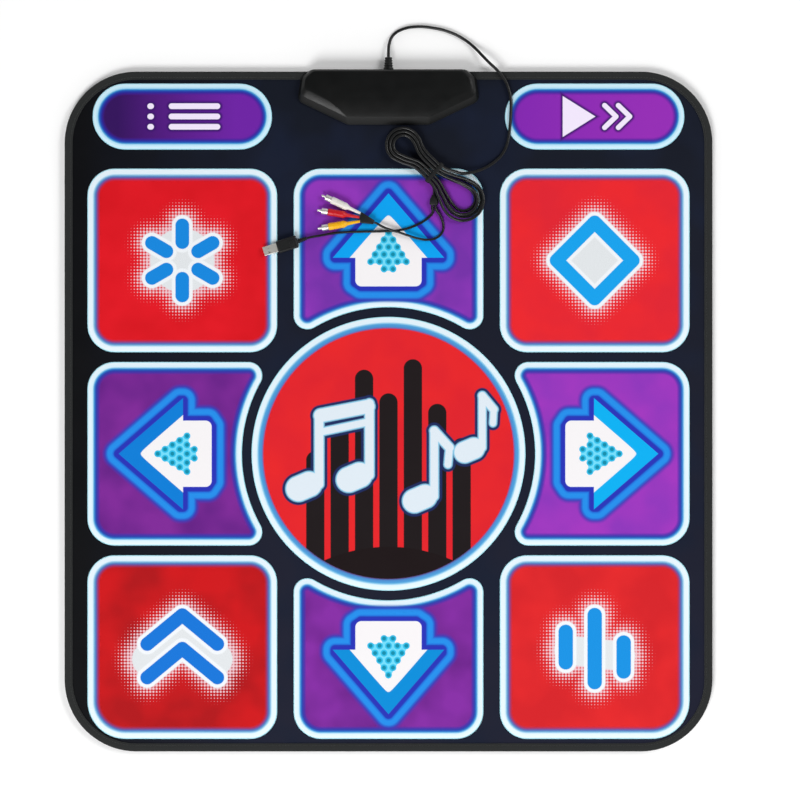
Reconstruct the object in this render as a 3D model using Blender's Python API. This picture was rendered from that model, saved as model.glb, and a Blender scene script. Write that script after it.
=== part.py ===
"""Dance mat controller: a soft floor mat with ten foot switches, its control box, cords and plugs.

Metres, +Z up. The origin is on the floor under the middle of the mat, and +Y is the side with the
control box. Every piece is modelled in place. Flat layers lie one above the other with a small gap,
and the step pads stand in openings of the top cover.
"""

import math

import bmesh
import bpy
from mathutils import Matrix, Vector

# The mat in plan
MAT_WIDTH = 0.850
MAT_DEPTH = 0.892
MAT_CORNER = 0.094
SIDE_MARGIN = 0.030
FRONT_MARGIN = 0.0165
REAR_MARGIN = 0.0157
COLUMN_GAP = 0.0215
ROW_GAP = 0.0126
CAPSULE_GAP = 0.025
CAPSULE_DEPTH = 0.0866
CAPSULE_INSET = 0.0068
PAD_CORNER = 0.036
PAD_OUTER_CORNER = 0.050
ARROW_TIP = 0.018
DISC_GAP = 0.0125
DISC_TO_CORNER_PAD = 0.0327

# The layers, from the floor up
PIMPLE_HEIGHT = 0.0011
PIMPLE_RADIUS = 0.004
PIMPLE_PITCH = 0.125
BASE_THICKNESS = 0.0008
FILM_THICKNESS = 0.0003
FOAM_THICKNESS = 0.0030
COVER_THICKNESS = 0.0010
LAYER_GAP = 0.0003
PAD_RISE = 0.0010
PAD_EDGE = 0.0007
PAD_CLEARANCE = 0.0005
FOAM_WINDOW = 0.070
FOAM_WINDOWS_ACROSS = 2

# The edge binding, a folded tape
BINDING_WIDTH = 0.0105
BINDING_THICKNESS = 0.0008
BINDING_ROUND = 0.0007

# The control box
BOX_WIDTH = 0.239
BOX_DEPTH = 0.0725
BOX_OVERHANG = 0.0026
BOX_REAR_TAPER = 0.0175
BOX_REAR_CHAMFER = 0.011
BOX_SIDE_LEAN = 0.0045
BOX_SIDE_DEPTH = 0.041
BOX_FRONT_TAPER = 0.066
BOX_HEIGHT = 0.022
BOX_CORNER = 0.010
BOX_WALL = 0.002
BOX_LIP_HEIGHT = 0.0025
BOX_TOP_FALL = 0.0019
BOX_SKIRT = 0.008
FLANGE_THICKNESS = 0.0008
FLANGE_STEP = 0.0004
NOTCH_CLEARANCE = 0.0004
FIT_GAP = 0.0003

# Screws, board and what is on it
SCREW_HEAD_RADIUS = 0.0028
SCREW_HEAD_HEIGHT = 0.0016
SCREW_RADIUS = 0.0014
SCREW_RECESS = 0.0022
BOSS_RADIUS = 0.0045
BOSS_HOLE_TOP = 0.015
SCREW_TOP = 0.014
REAR_SCREW_TO_SIDE = 0.0275
REAR_SCREW_IN = 0.0146
FRONT_SCREW_TO_CORNER = 0.0025
FRONT_SCREW_IN = 0.0496
BOARD_WIDTH = 0.084
BOARD_DEPTH = 0.036
BOARD_THICKNESS = 0.0016
BOARD_TO_WALL = 0.006
TAIL_WIDTH = 0.026
TAIL_SPACE = 0.008
TAIL_LAP = 0.0115
CLAMP_DEPTH = 0.008
CLAMP_HEIGHT = 0.0025
CLAMP_SCREW_INSET = 0.005

# The gland and the main cord
CORD = 0.0040
GLAND_LENGTH = 0.016
GLAND_ROOT_RADIUS = 0.0066
GLAND_TIP_RADIUS = 0.0048
GLAND_NECK_RADIUS = 0.0040
GLAND_FLANGE_RADIUS = 0.0055
GLAND_FLANGE = 0.002

# The hank: where it lies, its two folds and its waist
HANK_PLACE = (0.0597, 0.3122)
HANK_HEADING = math.radians(-42)
HANK_UP = -0.0545
HANK_LOW = 0.0516
HANK_TURNS = (0.0697, 4.6541)
HANK_TURNBACK = 2.625
HANK_POINTS_A_TURN = 24
FOLD_RADIUS = 0.0122
FAN_RADIUS = 0.014
WAIST_HALF = 0.0023
WAIST_PITCH = 0.0047
FAN_PITCH = 0.0080
HANK_LAYER = 0.0046
HANK_EXIT_RADIUS = 0.016
HANK_EXIT_TURN = math.radians(50)
HANK_EXIT_STRAIGHT = 0.0045
TIE_WIDTH = 0.005
TIE_THICKNESS = 0.0008
TIE_CLEARANCE = 0.0004

# The thinner leads and what is on them
THIN_CORD = 0.0032
SPLITTER_LENGTH = 0.013
SPLITTER_WIDTH = 0.0115
SPLITTER_HEIGHT = 0.006
LEG_SPACING = 0.0042
USB_PLACE = (-0.1325, 0.2191)
USB_HEADING = math.radians(197.3)
USB_BODY = (0.0275, 0.0165, 0.008)
USB_BOOT_LENGTH = 0.0125
USB_SHELL = (0.0185, 0.012, 0.0045)
USB_SHELL_WALL = 0.0004
USB_TONGUE = 0.0019
JUNCTION_HEIGHT = 0.008
JUNCTION_FACE = 0.0044
RCA_RELIEF = 0.020
RCA_GRIP = 0.022
RCA_RADIUS = 0.00475
RCA_COLLAR_RADIUS = 0.00415
RCA_COLLAR_LENGTH = 0.008
RCA_COLLAR_WALL = 0.0004
RCA_PIN_RADIUS = 0.0016
RCA_PIN_LENGTH = 0.014

# How many straight pieces an arc is made of
MAT_CORNER_STEPS = 8
PAD_CORNER_STEPS = 4
ARC_STEPS = 12
BOX_CORNER_STEPS = 6
TURNED_STEPS = 16
SCREW_STEPS = 12

# Heights that follow from the layers
BASE_TOP = PIMPLE_HEIGHT + BASE_THICKNESS
LOWER_FILM = BASE_TOP + LAYER_GAP
FOAM = LOWER_FILM + FILM_THICKNESS + LAYER_GAP
UPPER_FILM = FOAM + FOAM_THICKNESS + LAYER_GAP
COVER = UPPER_FILM + FILM_THICKNESS + LAYER_GAP
COVER_TOP = COVER + COVER_THICKNESS
PAD_TOP = COVER_TOP + PAD_RISE
BINDING_TOP = COVER_TOP + LAYER_GAP + BINDING_THICKNESS
SHELL_SEAT = COVER_TOP + LAYER_GAP
LYING = PAD_TOP + LAYER_GAP

# The pads in plan, from the mat's size and its margins and gaps
PAD_WIDTH = (MAT_WIDTH - 2 * SIDE_MARGIN - 2 * COLUMN_GAP) / 3
PAD_DEPTH = (
    MAT_DEPTH - FRONT_MARGIN - REAR_MARGIN - CAPSULE_DEPTH - CAPSULE_GAP - 2 * ROW_GAP
) / 3
COLUMN = PAD_WIDTH + COLUMN_GAP
ROW = PAD_DEPTH + ROW_GAP
MIDDLE_Y = -MAT_DEPTH / 2 + FRONT_MARGIN + ROW + PAD_DEPTH / 2
CAPSULE_Y = MAT_DEPTH / 2 - REAR_MARGIN - CAPSULE_DEPTH / 2
CORNER_PAD_REACH = math.hypot(
    COLUMN - PAD_WIDTH / 2 + PAD_CORNER, ROW - PAD_DEPTH / 2 + PAD_CORNER
)
DISC_RADIUS = CORNER_PAD_REACH - PAD_CORNER - DISC_TO_CORNER_PAD

# The box's rear face, and the tray's front wall
BOX_REAR = MAT_DEPTH / 2 + BOX_OVERHANG
TRAY_FRONT = BOX_REAR - BOX_DEPTH + BOX_SKIRT
BOARD_FRONT = TRAY_FRONT + BOX_WALL + BOARD_TO_WALL
BOARD_TOP = UPPER_FILM - FIT_GAP
BOARD_BOTTOM = BOARD_TOP - BOARD_THICKNESS
ON_BOARD = BOARD_TOP + FIT_GAP
GLAND_HEIGHT = (COVER_TOP + SHELL_SEAT) / 2

# Where the three phono plugs start at the junction, and which way they point
RCA_PLUGS = {
    "white": ((-0.0367, 0.2597), math.radians(155)),
    "red": ((-0.0380, 0.2546), math.radians(170.5)),
    "yellow": ((-0.0374, 0.2492), math.radians(189.9)),
}
JUNCTION_ENTRY = (-0.0190, 0.2479)

# The routes of the free cords, chosen by hand
LEAD_ROUTE = [
    (0.0000, 0.4649, GLAND_HEIGHT),
    (0.0000, 0.4730, 0.0074),
    (0.0010, 0.4830, 0.0052),
    (0.0060, 0.4940, 0.0029),
    (0.0180, 0.5020, 0.0022),
    (0.0360, 0.5055, 0.0021),
    (0.0580, 0.5040, 0.0021),
    (0.0800, 0.4985, 0.0022),
    (0.0990, 0.4890, 0.0023),
    (0.1130, 0.4778, 0.0044),
    (0.1235, 0.4665, 0.0086),
    (0.1325, 0.4570, 0.0112),
    (0.1425, 0.4475, 0.0114),
    (0.1510, 0.4370, 0.0114),
    (0.1575, 0.4235, 0.0113),
    (0.1605, 0.4080, 0.0112),
    (0.1603, 0.3900, 0.0111),
    (0.1588, 0.3700, 0.0111),
    (0.1560, 0.3520, 0.0112),
    (0.1500, 0.3385, 0.0114),
    (0.1390, 0.3270, 0.0122),
    (0.1255, 0.3187, 0.0134),
    (0.1120, 0.3138, 0.0147),
    (0.1020, 0.3122, 0.0154),
]
USB_ROUTE = [
    (0.0579, 0.2607, 0.0112),
    (0.0525, 0.2543, 0.0106),
    (0.0446, 0.2486, 0.0106),
    (0.0348, 0.2436, 0.0106),
    (0.0230, 0.2396, 0.0106),
    (0.0098, 0.2373, 0.0106),
    (-0.0059, 0.2364, 0.0106),
    (-0.0230, 0.2361, 0.0106),
    (-0.0413, 0.2357, 0.0106),
    (-0.0597, 0.2349, 0.0107),
    (-0.0754, 0.2333, 0.0112),
    (-0.0875, 0.2310, 0.0122),
]
AV_ROUTE = [
    (0.0671, 0.2577, 0.0110),
    (0.0706, 0.2499, 0.0106),
    (0.0720, 0.2420, 0.0106),
    (0.0700, 0.2341, 0.0107),
    (0.0626, 0.2276, 0.0110),
    (0.0512, 0.2252, 0.0120),
    (0.0387, 0.2268, 0.0134),
    (0.0262, 0.2305, 0.0144),
    (0.0138, 0.2347, 0.0147),
    (0.0020, 0.2383, 0.0146),
    (-0.0078, 0.2422, 0.0141),
]


def clear_scene():
    for old in list(bpy.data.objects):
        bpy.data.objects.remove(old, do_unlink=True)


def linear(hex_colour):
    """An sRGB hex colour as the linear colour that a shader takes."""
    channels = [int(hex_colour[i : i + 2], 16) / 255 for i in (1, 3, 5)]
    return [c / 12.92 if c <= 0.04045 else ((c + 0.055) / 1.055) ** 2.4 for c in channels]


def finish(name, hex_colour, roughness, metallic=0.0):
    """One of the object's finishes, as a Principled BSDF."""
    material = bpy.data.materials.new(name)
    material.use_nodes = True
    shader = material.node_tree.nodes["Principled BSDF"]
    shader.inputs["Base Color"].default_value = (*linear(hex_colour), 1.0)
    shader.inputs["Roughness"].default_value = roughness
    shader.inputs["Metallic"].default_value = metallic
    return material


def add_object(name, data, material):
    piece = bpy.data.objects.new(name, data)
    bpy.context.scene.collection.objects.link(piece)
    if material is not None:
        data.materials.append(material)
    return piece


def add_mesh(name, mesh, material):
    """An object from a bmesh, its doubles merged and its faces turned outwards."""
    bmesh.ops.remove_doubles(mesh, verts=mesh.verts, dist=1e-6)
    bmesh.ops.recalc_face_normals(mesh, faces=mesh.faces)
    data = bpy.data.meshes.new(name)
    mesh.to_mesh(data)
    mesh.free()
    return add_object(name, data, material)


def smooth(piece, degrees=35):
    """Shades a round piece smooth, apart from its sharp edges."""
    piece.data.shade_smooth()
    piece.data.set_sharp_from_angle(angle=math.radians(degrees))
    return piece


def ease(share):
    """0 to 1 with a soft start and end."""
    share = min(max(share, 0.0), 1.0)
    return share * share * (3 - 2 * share)


def arc(centre, radius, start, end, steps):
    """Points along an arc, both ends included. Angles are in radians."""
    angles = [start + (end - start) * i / steps for i in range(steps + 1)]
    return [(centre[0] + radius * math.cos(a), centre[1] + radius * math.sin(a)) for a in angles]


def rounded_rect(centre, width, depth, radius, steps):
    """A rectangle with round corners, anticlockwise. One radius, or four from the +X +Y corner on."""
    radii = radius if isinstance(radius, list) else [radius] * 4
    outline = []
    for quarter, (sx, sy) in enumerate([(1, 1), (-1, 1), (-1, -1), (1, -1)]):
        r = radii[quarter]
        corner = (centre[0] + sx * (width / 2 - r), centre[1] + sy * (depth / 2 - r))
        start = quarter * math.pi / 2
        outline += arc(corner, r, start, start + math.pi / 2, steps)
    return outline


def inset_polygon(corners, insets):
    """An anticlockwise polygon with each side moved inwards by its own distance."""
    lines = []
    for i, distance in enumerate(insets):
        start, end = Vector(corners[i]), Vector(corners[(i + 1) % len(corners)])
        along = (end - start).normalized()
        inwards = Vector((-along.y, along.x)) * distance
        lines.append((start + inwards, along))
    moved = []
    for (p, a), (q, b) in zip([lines[-1]] + lines[:-1], lines):
        reach = (q - p).cross(b) / a.cross(b)
        moved.append(tuple(p + a * reach))
    return moved


def rounded_polygon(corners, radius, steps):
    """An anticlockwise polygon with each outward corner rounded to one radius."""
    outline = []
    for i, corner in enumerate(corners):
        here = Vector(corner)
        arriving = (here - Vector(corners[i - 1])).normalized()
        leaving = (Vector(corners[(i + 1) % len(corners)]) - here).normalized()
        turn = math.atan2(arriving.cross(leaving), arriving.dot(leaving))
        start = here - arriving * radius * math.tan(turn / 2)
        centre = start + Vector((-arriving.y, arriving.x)) * radius
        first = math.atan2(start.y - centre.y, start.x - centre.x)
        outline += arc(centre, radius, first, first + turn, steps)
    return outline


def at_height(outline, z):
    return [(x, y, z) for x, y in outline]


def loft(name, rings, material, closed=False):
    """A solid through rings of as many points each, capped at both ends or closed on itself."""
    mesh = bmesh.new()
    loops = [[mesh.verts.new(point) for point in ring] for ring in rings]
    pairs = list(zip(loops, loops[1:] + loops[:1])) if closed else list(zip(loops, loops[1:]))
    for low, high in pairs:
        for i in range(len(low)):
            j = (i + 1) % len(low)
            mesh.faces.new((low[i], low[j], high[j], high[i]))
    if not closed:
        mesh.faces.new(loops[0][::-1])
        mesh.faces.new(loops[-1])
    return add_mesh(name, mesh, material)


def sheet(name, outlines, bottom, top, material):
    """A flat sheet: the first outline is its rim, and the others are openings in it."""
    mesh = bmesh.new()
    for outline in outlines:
        kept = [b for a, b in zip(outline[-1:] + outline, outline) if math.dist(a, b) > 1e-6]
        ring = [mesh.verts.new((x, y, bottom)) for x, y in kept]
        for a, b in zip(ring, ring[1:] + ring[:1]):
            mesh.edges.new((a, b))
    bmesh.ops.triangle_fill(mesh, edges=mesh.edges[:], use_beauty=True)
    raised = bmesh.ops.extrude_face_region(mesh, geom=mesh.faces[:])["geom"]
    points = [item for item in raised if isinstance(item, bmesh.types.BMVert)]
    bmesh.ops.translate(mesh, verts=points, vec=(0, 0, top - bottom))
    return add_mesh(name, mesh, material)


def turned(
    name, profile, material, place=(0, 0, 0), towards=(0, 0, 1), ring=False, steps=TURNED_STEPS
):
    """A piece turned about an axis, from (radius, distance along the axis) points."""
    mesh = bmesh.new()
    points = [mesh.verts.new((radius, 0, height)) for radius, height in profile]
    edges = [mesh.edges.new(pair) for pair in zip(points, points[1:])]
    if ring:
        edges.append(mesh.edges.new((points[-1], points[0])))
    bmesh.ops.spin(
        mesh, geom=points + edges, cent=(0, 0, 0), axis=(0, 0, 1),
        angle=math.tau, steps=steps, use_merge=True,
    )
    piece = add_mesh(name, mesh, material)
    turn = Vector(towards).to_track_quat("Z", "Y").to_matrix().to_4x4()
    piece.matrix_world = Matrix.Translation(place) @ turn
    return smooth(piece)


def cylinders(name, places, radius, bottom, top):
    """A helper of upright cylinders in one mesh, to cut away or to join on."""
    mesh = bmesh.new()
    for x, y in places:
        middle = Matrix.Translation((x, y, (bottom + top) / 2))
        bmesh.ops.create_cone(
            mesh, cap_ends=True, segments=SCREW_STEPS,
            radius1=radius, radius2=radius, depth=top - bottom, matrix=middle,
        )
    return add_mesh(name, mesh, None)


def block(name, low, high, material=None):
    """A plain box between two corners."""
    mesh = bmesh.new()
    size = Vector(high) - Vector(low)
    middle = Matrix.Translation((Vector(low) + Vector(high)) / 2)
    bmesh.ops.create_cube(mesh, size=1.0, matrix=middle @ Matrix.Diagonal((*size, 1.0)))
    return add_mesh(name, mesh, material)


def combine(piece, helper, operation):
    """Cuts a helper away from a piece, or joins it on, and hides the helper."""
    change = piece.modifiers.new(helper.name, "BOOLEAN")
    change.operation = operation
    change.solver = "EXACT"
    change.object = helper
    helper.hide_render = True
    helper.display_type = "WIRE"
    return piece


def cut(piece, helper):
    return combine(piece, helper, "DIFFERENCE")


def join(piece, helper):
    return combine(piece, helper, "UNION")


def through(points, spacing):
    """A smooth curve through a route's points, read off at about this spacing.

    The stretch from the first point to the second stays straight, and so does the last stretch.
    """
    route = [Vector(point) for point in points]
    fine = []
    for before, start, end, after in zip(route, route[1:], route[2:], route[3:]):
        for i in range(16):
            t = i / 16
            fine.append(
                0.5 * (
                    2 * start
                    + (end - before) * t
                    + (2 * before - 5 * start + 4 * end - after) * t**2
                    + (3 * start - before - 3 * end + after) * t**3
                )
            )
    fine.append(route[-2])
    lengths = [0.0]
    for a, b in zip(fine, fine[1:]):
        lengths.append(lengths[-1] + (b - a).length)
    count = max(2, round(lengths[-1] / spacing))
    read, i = [], 0
    for step in range(count + 1):
        wanted = lengths[-1] * step / count
        while i < len(fine) - 2 and lengths[i + 1] < wanted:
            i += 1
        share = (wanted - lengths[i]) / (lengths[i + 1] - lengths[i])
        read.append(fine[i].lerp(fine[i + 1], share))
    return [route[0]] + read + [route[-1]]


def tube(name, points, diameter, resolution, material):
    """A round cord along a line of points, with flat ends."""
    curve = bpy.data.curves.new(name, "CURVE")
    curve.dimensions = "3D"
    curve.bevel_depth = diameter / 2
    curve.bevel_resolution = resolution
    curve.use_fill_caps = True
    spline = curve.splines.new("POLY")
    spline.points.add(len(points) - 1)
    for target, point in zip(spline.points, points):
        target.co = (*point, 1.0)
    return add_object(name, curve, material)


def length_of(points):
    return sum((b - a).length for a, b in zip(points, points[1:]))


# Outlines of the mat, the pads and the box


def mat_outline(inset):
    return rounded_rect(
        (0, 0), MAT_WIDTH - 2 * inset, MAT_DEPTH - 2 * inset, MAT_CORNER - inset, MAT_CORNER_STEPS
    )


def corner_pad_outline(centre, inset, outer=None):
    """A corner pad. Its outer corner may be rounder, to follow the mat's own corner."""
    radii = [PAD_CORNER - inset] * 4
    if outer is not None:
        radii[outer] = PAD_OUTER_CORNER - inset
    return rounded_rect(
        centre, PAD_WIDTH - 2 * inset, PAD_DEPTH - 2 * inset, radii, PAD_CORNER_STEPS
    )


def capsule_outline(centre, inset):
    width = PAD_WIDTH - 2 * CAPSULE_INSET - 2 * inset
    depth = CAPSULE_DEPTH - 2 * inset
    return rounded_rect(centre, width, depth, depth / 2, 2 * PAD_CORNER_STEPS)


def arrow_pad_outline(quarter, inset):
    """A pad whose side towards the home disc is hollowed. Quarter 0 is the rear one."""
    along_y = quarter % 2 == 0
    half = (PAD_WIDTH if along_y else PAD_DEPTH) / 2 - inset
    far = (ROW + PAD_DEPTH / 2 if along_y else COLUMN + PAD_WIDTH / 2) - inset
    hollow = DISC_RADIUS + DISC_GAP + inset
    corner, tip = PAD_CORNER - inset, ARROW_TIP - inset
    tip_x = half - tip
    tip_y = math.sqrt((hollow + tip) ** 2 - tip_x**2)
    side = math.atan2(tip_y, tip_x)
    outline = arc((half - corner, far - corner), corner, 0, math.pi / 2, PAD_CORNER_STEPS)
    outline += arc(
        (corner - half, far - corner), corner, math.pi / 2, math.pi, PAD_CORNER_STEPS
    )
    outline += arc((-tip_x, tip_y), tip, math.pi, 2 * math.pi - side, PAD_CORNER_STEPS)
    outline += arc((0, 0), hollow, math.pi - side, side, ARC_STEPS)[1:-1]
    outline += arc((tip_x, tip_y), tip, math.pi + side, math.tau, PAD_CORNER_STEPS)
    turn = Matrix.Rotation(-quarter * math.pi / 2, 2)
    middle = Vector((0, MIDDLE_Y))
    return [tuple(middle + turn @ Vector(point)) for point in outline]


def pad_outlines(inset):
    """Each pad's outline by its name."""
    rear, front = MIDDLE_Y + ROW, MIDDLE_Y - ROW
    return {
        "pad_up": arrow_pad_outline(0, inset),
        "pad_right": arrow_pad_outline(1, inset),
        "pad_down": arrow_pad_outline(2, inset),
        "pad_left": arrow_pad_outline(3, inset),
        "pad_rear_left": corner_pad_outline((-COLUMN, rear), inset),
        "pad_rear_right": corner_pad_outline((COLUMN, rear), inset),
        "pad_front_left": corner_pad_outline((-COLUMN, front), inset, 2),
        "pad_front_right": corner_pad_outline((COLUMN, front), inset, 3),
        "pad_select": capsule_outline((-COLUMN, CAPSULE_Y), inset),
        "pad_start": capsule_outline((COLUMN, CAPSULE_Y), inset),
    }


def box_outline(rear=0.0, chamfer=0.0, side=0.0, slope=0.0, front=0.0):
    """The control box in plan, each pair of its sides moved inwards by its own distance."""
    half = BOX_WIDTH / 2
    right = [
        (half - BOX_FRONT_TAPER, BOX_REAR - BOX_DEPTH),
        (half, BOX_REAR - BOX_SIDE_DEPTH),
        (half - BOX_SIDE_LEAN, BOX_REAR - BOX_REAR_CHAMFER),
        (half - BOX_REAR_TAPER, BOX_REAR),
    ]
    corners = right + [(-x, y) for x, y in reversed(right)]
    insets = [slope, side, chamfer, rear, chamfer, side, slope, front]
    return rounded_polygon(inset_polygon(corners, insets), BOX_CORNER, BOX_CORNER_STEPS)


def tray_outline(inset, at_rear):
    """The tray's wall stands far inside the flange in front, and just inside it at the rear."""
    in_skirt = BOX_SKIRT + inset
    return box_outline(at_rear, at_rear, in_skirt, in_skirt, in_skirt)


def layer_outline(inset, tab=None):
    """A mat layer in plan, notched round the tray. A tab (left x, right x, length) stays in the notch."""
    rear = MAT_DEPTH / 2 - inset
    notch = tray_outline(-NOTCH_CLEARANCE, -NOTCH_CLEARANCE)
    inside = [y < rear for _, y in notch]
    first = next(i for i in range(len(notch)) if inside[i] and not inside[i - 1])
    notch = notch[first - 1 :] + notch[: first - 1]
    below = [point for point in notch if point[1] < rear]
    left, right = notch[0], notch[len(below) + 1]
    path = [crossing(left, below[0], rear)] + below + [crossing(below[-1], right, rear)]
    if tab is not None:
        path = with_tab(path, tab)
    outline = mat_outline(inset)
    corner = MAT_CORNER_STEPS + 1
    return outline[:corner] + path[::-1] + outline[corner:]


def crossing(a, b, y):
    share = (y - a[1]) / (b[1] - a[1])
    return (a[0] + (b[0] - a[0]) * share, y)


def with_tab(path, tab):
    """Puts a tab into the notch's front side, which runs from left to right."""
    left, right, length = tab
    front = min(y for _, y in path)
    last = max(i for i, (x, y) in enumerate(path) if x < 0 and abs(y - front) < 1e-7)
    step = [(left, front), (left, front + length), (right, front + length), (right, front)]
    return path[: last + 1] + step + path[last + 1 :]


# The mat's layers and pads


def make_base(material):
    rim = layer_outline(BINDING_THICKNESS + LAYER_GAP)
    base = loft(
        "non_slip_base", [at_height(rim, PIMPLE_HEIGHT), at_height(rim, BASE_TOP)], material
    )
    reach_x = MAT_WIDTH / 2 - BINDING_WIDTH - 2 * PIMPLE_RADIUS
    reach_y = MAT_DEPTH / 2 - BINDING_WIDTH - 2 * PIMPLE_RADIUS
    columns, rows = int(reach_x / PIMPLE_PITCH), int(reach_y / PIMPLE_PITCH)
    box_space = PIMPLE_RADIUS + 2 * FIT_GAP
    places = []
    for i in range(-columns, columns + 1):
        for j in range(-rows, rows + 1):
            x, y = i * PIMPLE_PITCH, j * PIMPLE_PITCH
            in_corner = abs(x) > reach_x - MAT_CORNER / 2 and abs(y) > reach_y - MAT_CORNER / 2
            at_box = abs(x) < BOX_WIDTH / 2 + box_space and y > BOX_REAR - BOX_DEPTH - box_space
            if not in_corner and not at_box:
                places.append((x, y))
    pimples = pimple_mesh(places)
    return join(base, pimples)


def pimple_mesh(places):
    """Low rubber pimples, six-sided and drawn in towards the floor."""
    mesh = bmesh.new()
    top = PIMPLE_HEIGHT + BASE_THICKNESS / 2
    for x, y in places:
        bmesh.ops.create_cone(
            mesh, cap_ends=True, segments=6, radius1=PIMPLE_RADIUS * 0.75,
            radius2=PIMPLE_RADIUS, depth=top, matrix=Matrix.Translation((x, y, top / 2)),
        )
    return add_mesh("join_pimples", mesh, None)


def make_film(name, bottom, left, board_level, material):
    """A printed switch film. Its tail runs into the box and onto the board."""
    step_in = NOTCH_CLEARANCE + BOX_WALL + FIT_GAP
    tab = (left, left + TAIL_WIDTH, step_in)
    rim = layer_outline(BINDING_THICKNESS + LAYER_GAP, tab)
    top = bottom + FILM_THICKNESS
    film = loft(name, [at_height(rim, bottom), at_height(rim, top)], material)
    end = TRAY_FRONT - NOTCH_CLEARANCE + step_in
    to_board = BOARD_FRONT + FIT_GAP - end
    steps = [(to_board * 0.3, 0.1), (to_board * 0.4, 0.8), (to_board * 0.3, 0.1), (TAIL_LAP, 0)]
    mesh = bmesh.new()
    mesh.from_mesh(film.data)
    face = min(
        (f for f in mesh.faces if f.normal.y > 0.99),
        key=lambda f: (f.calc_center_median() - Vector((left + TAIL_WIDTH / 2, end, bottom))).length,
    )
    for forward, share in steps:
        raised = bmesh.ops.extrude_face_region(mesh, geom=[face])["geom"]
        points = [item for item in raised if isinstance(item, bmesh.types.BMVert)]
        lift = share * (board_level - bottom)
        bmesh.ops.translate(mesh, verts=points, vec=(0, forward, lift))
        mesh.faces.remove(face)
        face = next(item for item in raised if isinstance(item, bmesh.types.BMFace))
    mesh.to_mesh(film.data)
    mesh.free()
    return film


def make_foam(material):
    """The spacer, with windows under each pad where the films may touch."""
    outlines = [layer_outline(BINDING_THICKNESS + LAYER_GAP)]
    steps = range(FOAM_WINDOWS_ACROSS)
    middle = (FOAM_WINDOWS_ACROSS - 1) / 2
    pitch_x, pitch_y = PAD_WIDTH / FOAM_WINDOWS_ACROSS, PAD_DEPTH / FOAM_WINDOWS_ACROSS
    for column in (-1, 0, 1):
        for row in (-1, 0, 1):
            if column == 0 and row == 0:
                continue
            x, y = column * COLUMN, MIDDLE_Y + row * ROW
            for i in steps:
                for j in steps:
                    place = (x + (i - middle) * pitch_x, y + (j - middle) * pitch_y)
                    outlines.append(foam_window(place))
    for side in (-1, 1):
        for i in steps:
            outlines.append(foam_window((side * COLUMN + (i - middle) * pitch_x, CAPSULE_Y)))
    return sheet("foam_spacer", outlines, FOAM, FOAM + FOAM_THICKNESS, material)


def foam_window(place):
    half = FOAM_WINDOW / 2
    return [(place[0] + sx * half, place[1] + sy * half) for sx, sy in
            ((-1, -1), (1, -1), (1, 1), (-1, 1))]


def make_cover(material):
    openings = list(pad_outlines(-PAD_CLEARANCE).values())
    outlines = [layer_outline(BINDING_THICKNESS + LAYER_GAP)] + openings
    return sheet("top_cover", outlines, COVER, COVER_TOP, material)


def make_pads(materials):
    """The ten step pads, each with a rounded upper edge."""
    levels = [(0.0, COVER), (0.0, PAD_TOP - PAD_EDGE), (0.3, PAD_TOP - 0.3 * PAD_EDGE), (1.0, PAD_TOP)]
    rings = [pad_outlines(share * PAD_EDGE) for share, _ in levels]
    for name in rings[0]:
        stack = [at_height(ring[name], z) for ring, (_, z) in zip(rings, levels)]
        is_red = name.startswith(("pad_rear", "pad_front"))
        smooth(loft(name, stack, materials["red" if is_red else "purple"]), 50)


def make_disc(material):
    """The home zone: a round patch welded on the cover, level with the pads."""
    low = COVER_TOP + LAYER_GAP
    levels = [(0.0, low), (0.0, (low + PAD_TOP) / 2), (PAD_EDGE / 2, PAD_TOP)]
    rings = [
        at_height(arc((0, MIDDLE_Y), DISC_RADIUS - inset, 0, math.tau, 48)[:-1], z)
        for inset, z in levels
    ]
    return smooth(loft("home_disc", rings, material), 50)


def make_binding(material):
    """A tape folded over the mat's rim, open where the control box sits."""
    wide, thick, rim = BINDING_WIDTH, BINDING_THICKNESS, BINDING_ROUND
    top = BINDING_TOP
    section = [
        (0, rim), (0, top - rim), (rim, top), (wide, top), (wide, top - thick),
        (thick, top - thick), (thick, thick), (wide, thick), (wide, 0), (rim, 0),
    ]
    rings = [at_height(mat_outline(inset), z) for inset, z in section]
    binding = smooth(loft("edge_binding", rings, material, closed=True))
    past = -BOX_OVERHANG - BINDING_WIDTH
    gap = -NOTCH_CLEARANCE
    footprint = box_outline(past, gap, gap, gap, gap)
    levels = [-BINDING_WIDTH, top + BINDING_WIDTH]
    cutter = loft("cut_binding", [at_height(footprint, z) for z in levels], None)
    return cut(binding, cutter)


# The control box


def box_screw_places():
    """The four screws, two near the box's sides at the rear and two near its front corners."""
    rear_x = BOX_WIDTH / 2 - REAR_SCREW_TO_SIDE
    front_x = BOX_WIDTH / 2 - BOX_FRONT_TAPER + FRONT_SCREW_TO_CORNER
    rear, front = BOX_REAR - REAR_SCREW_IN, BOX_REAR - FRONT_SCREW_IN
    return [(-rear_x, rear), (rear_x, rear), (-front_x, front), (front_x, front)]


def clamp_screw_places():
    x = BOARD_WIDTH / 2 - CLAMP_SCREW_INSET
    return [(-x, BOARD_FRONT + CLAMP_SCREW_INSET), (x, BOARD_FRONT + CLAMP_SCREW_INSET)]


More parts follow.
